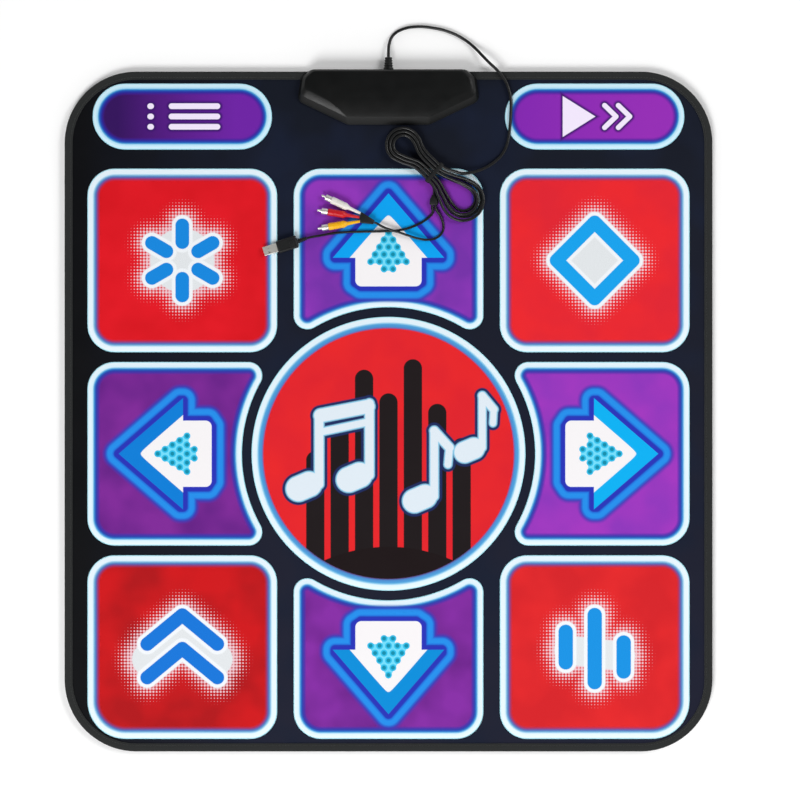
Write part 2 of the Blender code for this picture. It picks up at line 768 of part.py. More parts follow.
def make_tray(material):
    """The lower shell: a tray with a thin flange that clamps the mat, screw bosses and board posts."""
    floor = BOX_WALL
    skirt = box_outline()
    wall, inner = tray_outline(0.0, FLANGE_STEP), tray_outline(BOX_WALL, BOX_WALL)
    tray = loft("box_lower_shell", [
        at_height(skirt, 0.0), at_height(skirt, FLANGE_THICKNESS),
        at_height(wall, FLANGE_THICKNESS), at_height(wall, COVER_TOP),
        at_height(inner, COVER_TOP), at_height(inner, floor),
    ], material)
    inside_floor = floor / 2
    join(tray, cylinders("join_bosses", box_screw_places(), BOSS_RADIUS, inside_floor, COVER_TOP))
    rear_posts = [(x, y + BOARD_DEPTH - 2 * CLAMP_SCREW_INSET) for x, y in clamp_screw_places()]
    posts = clamp_screw_places() + rear_posts
    post_top = BOARD_BOTTOM - FIT_GAP
    join(tray, cylinders("join_posts", posts, BOSS_RADIUS * 0.75, inside_floor, post_top))
    bore = SCREW_RADIUS + FIT_GAP
    head_bore = SCREW_HEAD_RADIUS + FIT_GAP
    cut(tray, cylinders("cut_heads", box_screw_places(), head_bore, -floor, SCREW_RECESS))
    cut(tray, cylinders("cut_bores", box_screw_places(), bore, -floor, COVER_TOP + floor))
    cut(tray, cylinders("cut_posts", clamp_screw_places(), bore, inside_floor, COVER_TOP))
    reach = TAIL_SPACE / 2 + TAIL_WIDTH + 2 * FIT_GAP
    low = (-reach, TRAY_FRONT - BOX_WALL, LOWER_FILM - FIT_GAP)
    high = (reach, TRAY_FRONT + 2 * BOX_WALL, COVER_TOP + floor)
    cut(tray, block("cut_tail_slot", low, high))
    return cut(tray, gland_hole("cut_tray_gland"))


def gland_hole(name):
    """A cutter for the round hole that the parting of the two shells goes through."""
    hole = turned(name, [
        (0, -2 * BOX_WALL), (GLAND_NECK_RADIUS + FIT_GAP, -2 * BOX_WALL),
        (GLAND_NECK_RADIUS + FIT_GAP, BOX_WALL), (0, BOX_WALL),
    ], None, (0, BOX_REAR, GLAND_HEIGHT), (0, 1, 0))
    return hole


def make_lid(material):
    """The upper shell: a low moulded lid, widest along its front lip, its top falling towards the front."""
    lip = SHELL_SEAT + BOX_LIP_HEIGHT
    shoulder = SHELL_SEAT + (BOX_HEIGHT - SHELL_SEAT) * 0.74
    outer = [
        (box_outline(), SHELL_SEAT),
        (box_outline(), lip),
        (box_outline(0.0006, 0.002, 0.003, 0.008, 0.0095), shoulder),
        (box_outline(0.0018, 0.0035, 0.005, 0.0125, 0.0185), BOX_HEIGHT - BOX_TOP_FALL),
        (box_outline(0.003, 0.005, 0.0066, 0.016, 0.028), BOX_HEIGHT - BOX_TOP_FALL * 0.3),
        (box_outline(0.0046, 0.007, 0.009, 0.019, 0.035), BOX_HEIGHT),
    ]
    wall = BOX_WALL
    inner = [
        (box_outline(0.0046 + wall, 0.007 + wall, 0.009 + wall, 0.019, 0.035), BOX_HEIGHT - wall),
        (box_outline(0.0018 + wall, 0.0035 + wall, 0.005 + wall, 0.0125 + wall, 0.0185 + wall / 2),
         BOX_HEIGHT - BOX_TOP_FALL - wall),
        (box_outline(0.0006 + wall, 0.002 + wall, 0.003 + wall, 0.008 + wall, 0.0095 + wall),
         shoulder - wall),
        (box_outline(wall, wall, wall, wall, wall), lip),
        (box_outline(wall, wall, wall, wall, wall), SHELL_SEAT),
    ]
    rings = [at_height(outline, z) for outline, z in inner + outer]
    lid = smooth(loft("box_upper_shell", rings, material), 30)
    into_top = BOX_HEIGHT - wall / 2
    into_slope = into_top - BOX_TOP_FALL * 0.65
    rear, front = box_screw_places()[:2], box_screw_places()[2:]
    join(lid, cylinders("join_rear_bosses", rear, BOSS_RADIUS, SHELL_SEAT, into_top))
    join(lid, cylinders("join_front_bosses", front, BOSS_RADIUS, SHELL_SEAT, into_slope))
    bore = SCREW_RADIUS + FIT_GAP
    cut(lid, cylinders("cut_lid_bores", box_screw_places(), bore, COVER_TOP - wall, BOSS_HOLE_TOP))
    return cut(lid, gland_hole("cut_lid_gland"))


def make_box_screws(material):
    head = FIT_GAP
    under_head = head + SCREW_HEAD_HEIGHT
    profile = [
        (0, head), (SCREW_HEAD_RADIUS, head), (SCREW_HEAD_RADIUS, under_head),
        (SCREW_RADIUS, under_head), (SCREW_RADIUS, SCREW_TOP), (0, SCREW_TOP + SCREW_RADIUS / 2),
    ]
    for number, (x, y) in enumerate(box_screw_places(), 1):
        turned(f"box_screw_{number}", profile, material, (x, y, 0), steps=SCREW_STEPS)


def make_board(materials):
    """The circuit board on its posts, and the parts on it."""
    low = (-BOARD_WIDTH / 2, BOARD_FRONT, BOARD_BOTTOM)
    high = (BOARD_WIDTH / 2, BOARD_FRONT + BOARD_DEPTH, BOARD_TOP)
    board = block("circuit_board", low, high, materials["board"])
    bore = SCREW_RADIUS + FIT_GAP
    holes = cylinders("cut_board", clamp_screw_places(), bore, 0.0, BOX_HEIGHT)
    cut(board, holes)
    behind_clamp = BOARD_FRONT + CLAMP_SCREW_INSET + CLAMP_DEPTH
    chip = [(0, 0), (0.008, 0), (0.0072, 0.0011), (0.0045, 0.0019), (0, 0.0022)]
    turned("controller_chip", chip, materials["epoxy"], (-0.014, behind_clamp + 0.0095, ON_BOARD))
    can = [
        at_height(rounded_rect((0.012, behind_clamp + 0.006), 0.011 - inset, 0.0045 - inset,
                               0.0022 - inset / 2, 4), ON_BOARD + z)
        for inset, z in ((0, 0), (0, 0.0031), (0.0008, 0.0035))
    ]
    smooth(loft("crystal_can", can, materials["tin"]))
    sleeve = [(0, 0), (0.0031, 0), (0.0031, 0.0085), (0.0026, 0.009), (0, 0.009)]
    turned("capacitor", sleeve, materials["sleeve"], (0.029, behind_clamp + 0.008, ON_BOARD))
    rear = BOARD_FRONT + BOARD_DEPTH - 0.001
    header = block(
        "loom_connector", (-0.007, rear - 0.006, ON_BOARD), (0.007, rear, ON_BOARD + 0.0065),
        materials["header"],
    )
    loom_start = (0, BOX_REAR - BOX_WALL - GLAND_FLANGE - 3 * FIT_GAP, GLAND_HEIGHT)
    loom_end = (0, rear + FIT_GAP, ON_BOARD + 0.0033)
    run = loom_start[1] - loom_end[1]
    route = [
        loom_start,
        (0, loom_start[1] - 0.25 * run, GLAND_HEIGHT),
        (0, loom_start[1] - 0.75 * run, loom_end[2]),
        loom_end,
    ]
    tube("inner_loom", through(route, 0.004), 0.003, 2, materials["cord"])
    return header


def make_clamp(materials):
    """The bar that presses both film tails on the board, with its two screws."""
    low = ON_BOARD + FILM_THICKNESS + FIT_GAP
    top = low + CLAMP_HEIGHT
    middle = BOARD_FRONT + CLAMP_SCREW_INSET
    half = BOARD_WIDTH / 2 - FIT_GAP
    outline = rounded_rect((0, middle), 2 * half, CLAMP_DEPTH, CLAMP_DEPTH / 2.5, PAD_CORNER_STEPS)
    bar = loft("clamp_bar", [at_height(outline, low), at_height(outline, top)], materials["box"])
    bore = SCREW_RADIUS + FIT_GAP
    cut(bar, cylinders("cut_clamp", clamp_screw_places(), bore, 0.0, BOX_HEIGHT))
    seat = top + FIT_GAP
    foot = BOX_WALL + FIT_GAP
    profile = [
        (0, foot), (SCREW_RADIUS, foot), (SCREW_RADIUS, seat), (SCREW_HEAD_RADIUS, seat),
        (SCREW_HEAD_RADIUS, seat + SCREW_HEAD_HEIGHT / 2), (0, seat + SCREW_HEAD_HEIGHT),
    ]
    for name, (x, y) in zip(("left", "right"), clamp_screw_places()):
        turned(f"clamp_screw_{name}", profile, materials["steel"], (x, y, 0), steps=SCREW_STEPS)


def make_gland(material):
    """The ribbed strain relief, held in the parting by its neck and its inner flange."""
    inside = -BOX_WALL - 2 * FIT_GAP
    profile = [
        (0, inside - GLAND_FLANGE), (GLAND_FLANGE_RADIUS, inside - GLAND_FLANGE),
        (GLAND_FLANGE_RADIUS, inside), (GLAND_NECK_RADIUS, inside),
        (GLAND_NECK_RADIUS, FIT_GAP), (GLAND_ROOT_RADIUS, FIT_GAP),
    ]
    ribs = 4
    pitch = (GLAND_LENGTH - 0.0035) / ribs
    for i in range(ribs):
        start = 0.0025 + i * pitch
        share = start / GLAND_LENGTH
        radius = GLAND_ROOT_RADIUS + (GLAND_TIP_RADIUS - GLAND_ROOT_RADIUS) * share
        profile += [
            (radius, start), (radius - 0.0011, start + 0.25 * pitch),
            (radius - 0.0011, start + 0.55 * pitch), (radius - 0.0003, start + 0.8 * pitch),
        ]
    profile += [(GLAND_TIP_RADIUS, GLAND_LENGTH - 0.0008), (GLAND_TIP_RADIUS - 0.0005, GLAND_LENGTH)]
    profile += [(0, GLAND_LENGTH)]
    return turned("cable_gland", profile, material, (0, BOX_REAR, GLAND_HEIGHT), (0, 1, 0))


# The cords, the hank and the plugs


def hank_place(along, across, z):
    """A point of the hank's own frame, which runs along its length, in the object's frame."""
    turn = Matrix.Rotation(HANK_HEADING, 2)
    flat = Vector(HANK_PLACE) + turn @ Vector((along, across))
    return Vector((flat.x, flat.y, z))


def hank_half_width(along, step):
    """Half the width of the loop that lies so many pitches out from the innermost, between its runs."""
    waist = WAIST_HALF + step * WAIST_PITCH
    if along < 0:
        fold = FOLD_RADIUS + step * WAIST_PITCH
        share = (along / HANK_UP - 0.4) / 0.6
    else:
        fold = FAN_RADIUS + step * FAN_PITCH
        share = along / HANK_LOW
    return waist + (fold - waist) * ease(share)


def hank_height(turn, along):
    """The upper layer comes first, and the cord climbs down one layer where its spiral turns back."""
    layer = 1 - ease((turn - HANK_TURNBACK + 0.125) / 0.25)
    rise = TIE_THICKNESS + TIE_CLEARANCE
    at_waist = 1 - ease((abs(along) - 4 * TIE_WIDTH) / (5 * TIE_WIDTH))
    return LYING + CORD / 2 + layer * HANK_LAYER + rise * at_waist


def hank_point(turn):
    """The cord's middle after so many turns: two runs and two folds make one turn."""
    step = abs(turn - HANK_TURNBACK) - 0.125
    phase = turn % 1.0
    quarter = int(phase * 4)
    share = phase * 4 - quarter
    if quarter % 2 == 0:
        start, end = (HANK_LOW, HANK_UP) if quarter == 0 else (HANK_UP, HANK_LOW)
        along = start + (end - start) * share
        side = 1 if quarter == 0 else -1
        across = side * hank_half_width(along, step)
    else:
        centre, angle = (HANK_UP, math.pi / 2) if quarter == 1 else (HANK_LOW, -math.pi / 2)
        radius = hank_half_width(centre, step)
        angle += math.pi * share
        along = centre + radius * math.cos(angle)
        across = radius * math.sin(angle)
    return along, across, hank_height(turn, along)


def hank_line():
    """The whole hank: its turns, then the bend and the straight end that the splitter takes."""
    first, last = HANK_TURNS
    count = round((last - first) * HANK_POINTS_A_TURN)
    points = [hank_place(*hank_point(first + (last - first) * i / count)) for i in range(count + 1)]
    along, across, _ = hank_point(last)
    onwards = hank_point(last + 1 / HANK_POINTS_A_TURN)
    start = math.atan2(across - onwards[1], onwards[0] - along)
    steps = 5
    for i in range(1, steps + 1):
        angle = start + (HANK_EXIT_TURN - start) * i / steps
        reach = along + HANK_EXIT_RADIUS * (math.sin(angle) - math.sin(start))
        out = across - HANK_EXIT_RADIUS * (math.cos(start) - math.cos(angle))
        points.append(hank_place(reach, out, hank_height(last, reach)))
    end = points[-1] + exit_heading() * HANK_EXIT_STRAIGHT
    points.append(Vector((end.x, end.y, splitter_height())))
    return points


def exit_heading():
    angle = HANK_HEADING - HANK_EXIT_TURN
    return Vector((math.cos(angle), math.sin(angle), 0))


def splitter_height():
    return LYING + SPLITTER_HEIGHT / 2


def least_gap(points, diameter):
    """The least gap of a cord to itself, between stretches that are not next to each other."""
    fine = []
    for a, b in zip(points, points[1:]):
        fine += [a.lerp(b, i / 4) for i in range(4)]
    lengths = [0.0]
    for a, b in zip(fine, fine[1:]):
        lengths.append(lengths[-1] + (b - a).length)
    least = 1.0
    for i, a in enumerate(fine):
        for j in range(i + 1, len(fine)):
            if lengths[j] - lengths[i] > 4 * diameter:
                least = min(least, (fine[j] - a).length)
    return least - diameter


def make_main_cord(materials):
    line = hank_line()
    arriving = (line[1] - line[0]).normalized()
    lead = [Vector(point) for point in LEAD_ROUTE]
    lead += [line[0] - arriving * (CORD + FIT_GAP), line[0] - arriving * FIT_GAP]
    lead_points = through(lead, 2.2 * CORD)
    tube("cable_lead", lead_points, CORD, 2, materials["cord"])
    tube("cable_hank", line, CORD, 1, materials["cord"])
    print(f"main cord: lead {length_of(lead_points):.3f} m, hank {length_of(line):.3f} m")
    print(f"hank: least gap to itself {least_gap(line, CORD) * 1000:.2f} mm")
    return line


def make_tie(line, material):
    """The band round the hank's waist, shaped to the cord that it holds."""
    turn = Matrix.Rotation(-HANK_HEADING, 2)
    local = [(*(turn @ (point.xy - Vector(HANK_PLACE))), point.z) for point in line]
    crossings = []
    for a, b in zip(local, local[1:]):
        for edge in (-TIE_WIDTH / 2, TIE_WIDTH / 2):
            if min(a[0], b[0]) < edge < max(a[0], b[0]):
                crossings.append(Vector(a).lerp(Vector(b), (edge - a[0]) / (b[0] - a[0])))
    reach = CORD / 2 + TIE_CLEARANCE
    left = min(point.y for point in crossings) - reach
    right = max(point.y for point in crossings) + reach
    low = min(point.z for point in crossings) - reach
    high = max(point.z for point in crossings) + reach
    middle = ((left + right) / 2, (low + high) / 2)
    inner = rounded_rect(middle, right - left, high - low, 0.0015, 3)
    outer = rounded_rect(
        middle, right - left + 2 * TIE_THICKNESS, high - low + 2 * TIE_THICKNESS, 0.0023, 3
    )
    tie = sheet("cable_tie", [outer, inner], -TIE_WIDTH / 2, TIE_WIDTH / 2, material)
    across = Vector((math.cos(HANK_HEADING + math.pi / 2), math.sin(HANK_HEADING + math.pi / 2), 0))
    along = Vector((math.cos(HANK_HEADING), math.sin(HANK_HEADING), 0))
    frame = Matrix((across, (0, 0, 1), along)).transposed().to_4x4()
    tie.matrix_world = Matrix.Translation((*HANK_PLACE, 0)) @ frame
    return tie


def lying_frame(place, heading, z):
    """A frame whose X runs along a heading on the mat."""
    return Matrix.Translation((*place, z)) @ Matrix.Rotation(heading, 4, "Z")


def section(x, width, height, radius, steps=3):
    """A rounded section across a plug's length."""
    return [(x, y, z) for y, z in rounded_rect((0, 0), width, height, radius, steps)]


def make_splitter(line, material):
    heading = exit_heading()
    start = line[-1] + heading * FIT_GAP
    shapes = [
        (0.0, 0.45, 0.75), (0.15, 0.62, 0.95), (0.45, 0.95, 1.0), (0.9, 1.0, 1.0), (1.0, 0.9, 0.86),
    ]
    rings = [
        section(share * SPLITTER_LENGTH, wide * SPLITTER_WIDTH, high * SPLITTER_HEIGHT, 0.0018)
        for share, wide, high in shapes
    ]
    piece = smooth(loft("y_splitter", rings, material))
    angle = math.atan2(heading.y, heading.x)
    piece.matrix_world = lying_frame(start.xy, angle, splitter_height())
    return start + heading * (SPLITTER_LENGTH + FIT_GAP), heading


def make_leads(splitter_end, heading, materials):
    """The two thinner leads, from the splitter to the USB plug and to the AV junction."""
    right = Vector((heading.y, -heading.x, 0)) * LEG_SPACING / 2
    straight = heading * THIN_CORD
    usb_start, av_start = splitter_end + right, splitter_end - right
    usb_end = usb_frame() @ Vector((-USB_BODY[0] / 2 - USB_BOOT_LENGTH - 2 * FIT_GAP, 0, 0))
    usb_along = Vector((math.cos(USB_HEADING), math.sin(USB_HEADING), 0))
    usb = [usb_start, usb_start + straight] + [Vector(p) for p in USB_ROUTE]
    usb += [usb_end - usb_along * THIN_CORD, usb_end]
    av_along = junction_heading()
    av_end = Vector((*JUNCTION_ENTRY, junction_height())) - av_along * FIT_GAP
    av = [av_start, av_start + straight] + [Vector(p) for p in AV_ROUTE]
    av += [av_end - av_along * THIN_CORD, av_end]
    for name, route in (("usb_lead", usb), ("av_lead", av)):
        points = through(route, 2.4 * THIN_CORD)
        tube(name, points, THIN_CORD, 2, materials["cord"])
        print(f"{name}: {length_of(points):.3f} m")


def usb_frame():
    return lying_frame(USB_PLACE, USB_HEADING, LYING + USB_BODY[2] / 2)


def make_usb(materials):
    """The USB plug: ribbed boot, moulded grip, metal shell and the contact tongue in it."""
    length, width, height = USB_BODY
    shapes = [(0.0, 0.74, 0.78), (0.06, 0.94, 0.95), (0.14, 1, 1), (0.45, 0.95, 1), (0.9, 1, 1), (1, 0.92, 0.9)]
    grip = smooth(loft("usb_body", [
        section((share - 0.5) * length, wide * width, high * height, 0.0022, 4)
        for share, wide, high in shapes
    ], materials["plug"]))
    grip.matrix_world = usb_frame()
    boot_front = -length / 2 - FIT_GAP
    ribs = 4
    pitch = USB_BOOT_LENGTH / ribs
    profile = [(0, -USB_BOOT_LENGTH)]
    for i in range(ribs):
        start = -USB_BOOT_LENGTH + i * pitch
        radius = 0.0024 + 0.0009 * i / (ribs - 1)
        profile += [(radius - 0.0004, start), (radius, start + 0.2 * pitch), (radius, start + 0.6 * pitch)]
        profile += [(radius - 0.0005, start + 0.75 * pitch)]
    profile += [(0.0032, 0), (0, 0)]
    frame = usb_frame()
    axis = frame.to_3x3() @ Vector((1, 0, 0))
    turned("usb_boot", profile, materials["plug"], frame @ Vector((boot_front, 0, 0)), axis)
    reach, shell_width, shell_height = USB_SHELL
    wall = USB_SHELL_WALL
    start = length / 2 + FIT_GAP
    shell = loft("usb_shell", [
        section(start, shell_width, shell_height, 0.0007, 2),
        section(start + reach, shell_width, shell_height, 0.0007, 2),
        section(start + reach, shell_width - 2 * wall, shell_height - 2 * wall, 0.0004, 2),
        section(start, shell_width - 2 * wall, shell_height - 2 * wall, 0.0004, 2),
    ], materials["nickel"], closed=True)
    shell.matrix_world = frame
    for number, side in enumerate((-1, 1)):
        middle = Vector((start + 0.62 * reach, side * 0.22 * shell_width, shell_height / 2))
        half = Vector((0.0011, 0.0011, 2 * wall))
        window = block(f"cut_usb_window_{number}", middle - half, middle + half)
        window.matrix_world = frame
        cut(shell, window)
    low = -shell_height / 2 + wall + FIT_GAP
    side = shell_width / 2 - wall - FIT_GAP
    tongue = block(
        "usb_tongue", (start, -side, low), (start + reach - 0.0006, side, low + USB_TONGUE),
        materials["header"],
    )
    tongue.matrix_world = frame


def junction_height():
    return LYING + JUNCTION_HEIGHT / 2


def junction_heading():
    ends = [Vector(place) for place, _ in RCA_PLUGS.values()]
    middle = sum(ends, Vector((0, 0))) / len(ends)
    way = (middle - Vector(JUNCTION_ENTRY)).normalized()
    return Vector((way.x, way.y, 0))


def make_junction(material):
    """The moulded block between the AV lead and the three plugs, with one face square to each."""
    way = junction_heading().xy
    across = Vector((-way.y, way.x))
    entry = Vector(JUNCTION_ENTRY)
    outline = [entry + across * JUNCTION_FACE * 0.6, entry - across * JUNCTION_FACE * 0.6]
    for place, angle in RCA_PLUGS.values():
        along = Vector((math.cos(angle), math.sin(angle)))
        left = Vector((-along.y, along.x))
        face = Vector(place) - along * FIT_GAP
        outline += [face - left * JUNCTION_FACE / 2, face + left * JUNCTION_FACE / 2]
    middle = sum(outline, Vector((0, 0))) / len(outline)
    levels = [(0.86, 0.0), (1.0, 0.12), (1.0, 0.88), (0.86, 1.0)]
    rings = [
        [(*(middle + (point - middle) * scale), LYING + JUNCTION_HEIGHT * height) for point in outline]
        for scale, height in levels
    ]
    return loft("av_junction", rings, material)


def make_phono_plugs(materials):
    """Three plugs: a moulding whose tail is its strain relief, a metal collar and a centre pin."""
    front = RCA_RELIEF + RCA_GRIP
    grip = RCA_RADIUS
    body = [(0, 0), (0.0018, 0), (0.0024, RCA_RELIEF - 0.004), (0.0030, RCA_RELIEF - 0.0025)]
    body += [(grip - 0.0008, RCA_RELIEF - 0.0004), (grip, RCA_RELIEF + 0.001)]
    for i in range(3):
        start = RCA_RELIEF + 0.005 + i * 0.0036
        body += [(grip, start), (grip - 0.0004, start + 0.0005), (grip - 0.0004, start + 0.0014)]
        body += [(grip, start + 0.0019)]
    body += [(grip, front - 0.0008), (grip - 0.0006, front), (0, front)]
    start = front + FIT_GAP
    end = start + RCA_COLLAR_LENGTH
    outer, inner = RCA_COLLAR_RADIUS, RCA_COLLAR_RADIUS - RCA_COLLAR_WALL
    collar = [(outer, end), (outer, start), (inner, start), (inner, end)]
    seat = inner - FIT_GAP
    tip = start + RCA_PIN_LENGTH
    pin = [
        (0, start), (seat, start), (seat, start + 0.0015), (RCA_PIN_RADIUS, start + 0.0015),
        (RCA_PIN_RADIUS, tip - 0.0012), (RCA_PIN_RADIUS * 0.55, tip), (0, tip),
    ]
    height = LYING + grip
    for colour, (place, angle) in RCA_PLUGS.items():
        along = (math.cos(angle), math.sin(angle), 0)
        at = (*place, height)
        turned(f"rca_body_{colour}", body, materials[colour], at, along)
        turned(f"rca_shell_{colour}", collar, materials["nickel"], at, along, ring=True)
        turned(f"rca_pin_{colour}", pin, materials["nickel"], at, along)


def main():
    clear_scene()
    materials = {
        "cover": finish("Printed PVC cover", "#15172b", 0.45),
        "purple": finish("Purple printed PVC", "#8a33b4", 0.42),
        "red": finish("Red printed PVC", "#e3242b", 0.42),
        "binding": finish("Woven binding tape", "#242524", 0.80),
        "base": finish("Non-slip backing", "#2a2b2d", 0.90),
        "foam": finish("EVA foam", "#d8d8d2", 0.90),
        "film": finish("Printed polyester film", "#c9cfd2", 0.30),
        "box": finish("Black ABS", "#1a1b1c", 0.48),
        "board": finish("Green circuit board", "#1f6b3a", 0.45),
        "epoxy": finish("Black epoxy", "#0e0e10", 0.25),
        "tin": finish("Tinned can", "#c4c6c8", 0.30, 1.0),
        "sleeve": finish("Capacitor sleeve", "#1d2a55", 0.40),
        "header": finish("Natural nylon", "#e6e2d4", 0.50),
        "steel": finish("Zinc-plated steel", "#b9bcc0", 0.35, 1.0),
        "cord": finish("Black PVC cord", "#131415", 0.50),
        "plug": finish("Black moulded PVC", "#18191a", 0.50),
        "nickel": finish("Nickel plate", "#cfd0ce", 0.25, 1.0),
        "white": finish("White moulded PVC", "#e9e6e0", 0.45),
        "yellow": finish("Yellow moulded PVC", "#f0b414", 0.45),
    }
    make_base(materials["base"])
    tail_edge = TAIL_SPACE / 2
    make_film("lower_circuit_film", LOWER_FILM, -tail_edge - TAIL_WIDTH, ON_BOARD, materials["film"])
    make_film("upper_circuit_film", UPPER_FILM, tail_edge, ON_BOARD, materials["film"])
    make_foam(materials["foam"])
    make_cover(materials["cover"])
    make_pads(materials)
    make_disc(materials["red"])
    make_binding(materials["binding"])
    make_tray(materials["box"])
    make_lid(materials["box"])
    make_box_screws(materials["steel"])
    make_board(materials)
    make_clamp(materials)
    make_gland(materials["plug"])
    line = make_main_cord(materials)
    make_tie(line, materials["plug"])
    splitter_end, heading = make_splitter(line, materials["plug"])
    make_leads(splitter_end, heading, materials)
    make_usb(materials)
    make_junction(materials["plug"])
    make_phono_plugs(materials)


main()
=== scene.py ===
"""Dance mat controller: the looks of the mat, its control box, cords and plugs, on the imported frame.

Metres, +Z up, +Y towards the control box. The sections follow the object as it is put together.
"""

import math

import bpy
import numpy as np
from mathutils import Matrix, Vector


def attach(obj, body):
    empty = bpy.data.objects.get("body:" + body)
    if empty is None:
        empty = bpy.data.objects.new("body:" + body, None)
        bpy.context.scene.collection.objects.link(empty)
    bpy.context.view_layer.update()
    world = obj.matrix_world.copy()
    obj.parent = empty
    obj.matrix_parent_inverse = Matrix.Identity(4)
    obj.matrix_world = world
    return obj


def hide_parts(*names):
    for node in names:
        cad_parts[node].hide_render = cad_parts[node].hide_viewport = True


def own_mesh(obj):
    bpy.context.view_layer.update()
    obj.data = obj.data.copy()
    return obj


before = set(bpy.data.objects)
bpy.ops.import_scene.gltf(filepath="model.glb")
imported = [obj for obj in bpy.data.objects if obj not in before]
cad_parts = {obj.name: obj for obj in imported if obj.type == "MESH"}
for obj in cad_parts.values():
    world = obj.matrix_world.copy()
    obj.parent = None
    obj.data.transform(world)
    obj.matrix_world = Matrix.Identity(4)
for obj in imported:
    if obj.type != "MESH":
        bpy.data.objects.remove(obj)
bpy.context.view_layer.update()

# The camera hangs straight over the mat on a long lens, as for a catalogue photograph, so that the
# mat's sides stay square. SEEN is the floor that the picture's side covers at the mat's top.
SEEN = 1.0494
LENS = 150
camera = bpy.data.objects.new("camera_over_mat", bpy.data.cameras.new("camera_over_mat"))
camera.data.lens = LENS
camera.data.sensor_width = 36
camera.location = (0.0151, 0.0151, 0.0087 + SEEN * LENS / 36)
bpy.context.scene.collection.objects.link(camera)
bpy.context.scene.camera = camera


# The main cord: a thin round lead in extruded black PVC. It leaves the box by the gland, lies on the
# floor behind the mat, comes up over the rim beside the box, and is wound into the hank that a tie
# holds. Its points and sizes are the CAD's own.
def linear(hex_colour):
    """An sRGB hex colour as the linear colour that a shader takes."""
    channels = [int(hex_colour[i : i + 2], 16) / 255 for i in (1, 3, 5)]
    return (*[c / 12.92 if c <= 0.04045 else ((c + 0.055) / 1.055) ** 2.4 for c in channels], 1.0)


def wire(node, inputs):
    """Sets a node's inputs, by name or in order: a value, a hex colour, a node or one of its outputs."""
    for name, value in inputs.items() if isinstance(inputs, dict) else enumerate(inputs):
        if isinstance(value, str):
            value = linear(value)
        if isinstance(value, bpy.types.Node):
            value = next(output for output in value.outputs if output.enabled)
        if isinstance(value, bpy.types.NodeSocket):
            node.id_data.links.new(value, node.inputs[name])
        else:
            node.inputs[name].default_value = value
    return node


def add(kind, inputs, tree=None, **settings):
    """Adds a shader node with its settings and inputs, in the tree that its inputs come from.

    A second word in its kind is its operation.
    """
    for value in inputs.values() if isinstance(inputs, dict) else inputs:
        if isinstance(value, (bpy.types.Node, bpy.types.NodeSocket)):
            tree = value.id_data
    kind, *operation = kind.split()
    node = tree.nodes.new("ShaderNode" + kind)
    if operation:
        node.operation = operation[0]
    for name, value in settings.items():
        setattr(node, name, value)
    return wire(node, inputs)


def finish(name, colour, roughness, gloss, grain=None, wear=None, **more):
    """Starts a finish. Its even values go on the shader's own sockets; patterns are wired in.

    Grain is a noise in relief: scale, detail, depth in m and strength. Wear is one in the roughness:
    scale, detail, least and most.
    """
    material = bpy.data.materials.new(name)
    material.use_nodes = True
    shader = material.node_tree.nodes["Principled BSDF"]
    wire(shader, {"Base Color": colour, "Roughness": roughness, "Specular IOR Level": gloss, **more})
    place = add("TexCoord", {}, material.node_tree).outputs["Object"]
    if grain:
        noise = add("TexNoise", {"Vector": place, "Scale": grain[0], "Detail": grain[1]})
        wire(shader, {"Normal": add("Bump", {"Height": noise, "Distance": grain[2], "Strength": grain[3]})})
    if wear:
        noise = add("TexNoise", {"Vector": place, "Scale": wear[0], "Detail": wear[1]})
        wire(shader, {"Roughness": add("MapRange", {"Value": noise, "To Min": wear[2], "To Max": wear[3]})})
    return material, shader, place


def coat(piece, material):
    """Gives a piece its finish."""
    piece.data.materials.clear()
    piece.data.materials.append(material)


def give(piece, body, slot, material, *nodes):
    """Gives a finished piece its finish, the body it rides on and the CAD nodes that it stands for."""
    coat(piece, material)
    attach(piece, body)
    if nodes:
        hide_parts(*nodes)
    return piece


# Extruded PVC: smooth and half glossy, with the faint ripple that the die leaves along it
cord_pvc = finish("Extruded black PVC", "#0a0b0c", 0.36, 0.42, grain=(420, 2, 0.00008, 0.35))[0]

CORD, THIN_CORD = 0.0040, 0.0032
FIT_GAP = 0.0003
COVER, COVER_TOP, PAD_TOP = 0.0067, 0.0077, 0.0087
LYING = PAD_TOP + 0.0003
GLAND_HEIGHT = COVER_TOP + 0.00015
BOX_REAR = 0.4486
LEAD_ROUTE = [
    (0.0000, 0.4649, GLAND_HEIGHT), (0.0000, 0.4730, 0.0074), (0.0010, 0.4830, 0.0052),
    (0.0060, 0.4940, 0.0029), (0.0180, 0.5020, 0.0022), (0.0360, 0.5055, 0.0021),
    (0.0580, 0.5040, 0.0021), (0.0800, 0.4985, 0.0022), (0.0990, 0.4890, 0.0023),
    (0.1130, 0.4778, 0.0044), (0.1235, 0.4665, 0.0086), (0.1325, 0.4570, 0.0112),
    (0.1425, 0.4475, 0.0114), (0.1510, 0.4370, 0.0114), (0.1575, 0.4235, 0.0113),
    (0.1605, 0.4080, 0.0112), (0.1603, 0.3900, 0.0111), (0.1588, 0.3700, 0.0111),
    (0.1560, 0.3520, 0.0112), (0.1500, 0.3385, 0.0114), (0.1390, 0.3270, 0.0122),
    (0.1255, 0.3187, 0.0134), (0.1120, 0.3138, 0.0147), (0.1020, 0.3122, 0.0154),
]
HANK_PLACE, HANK_HEADING = Vector((0.0597, 0.3122)), math.radians(-42)
HANK_UP, HANK_LOW = -0.0545, 0.0516
HANK_TURNS, HANK_TURNBACK, HANK_STEPS = (0.0697, 4.6541), 2.625, 24
FOLD_RADIUS, FAN_RADIUS, WAIST_HALF = 0.0122, 0.014, 0.0023
WAIST_PITCH, FAN_PITCH, HANK_LAYER = 0.0047, 0.0080, 0.0046
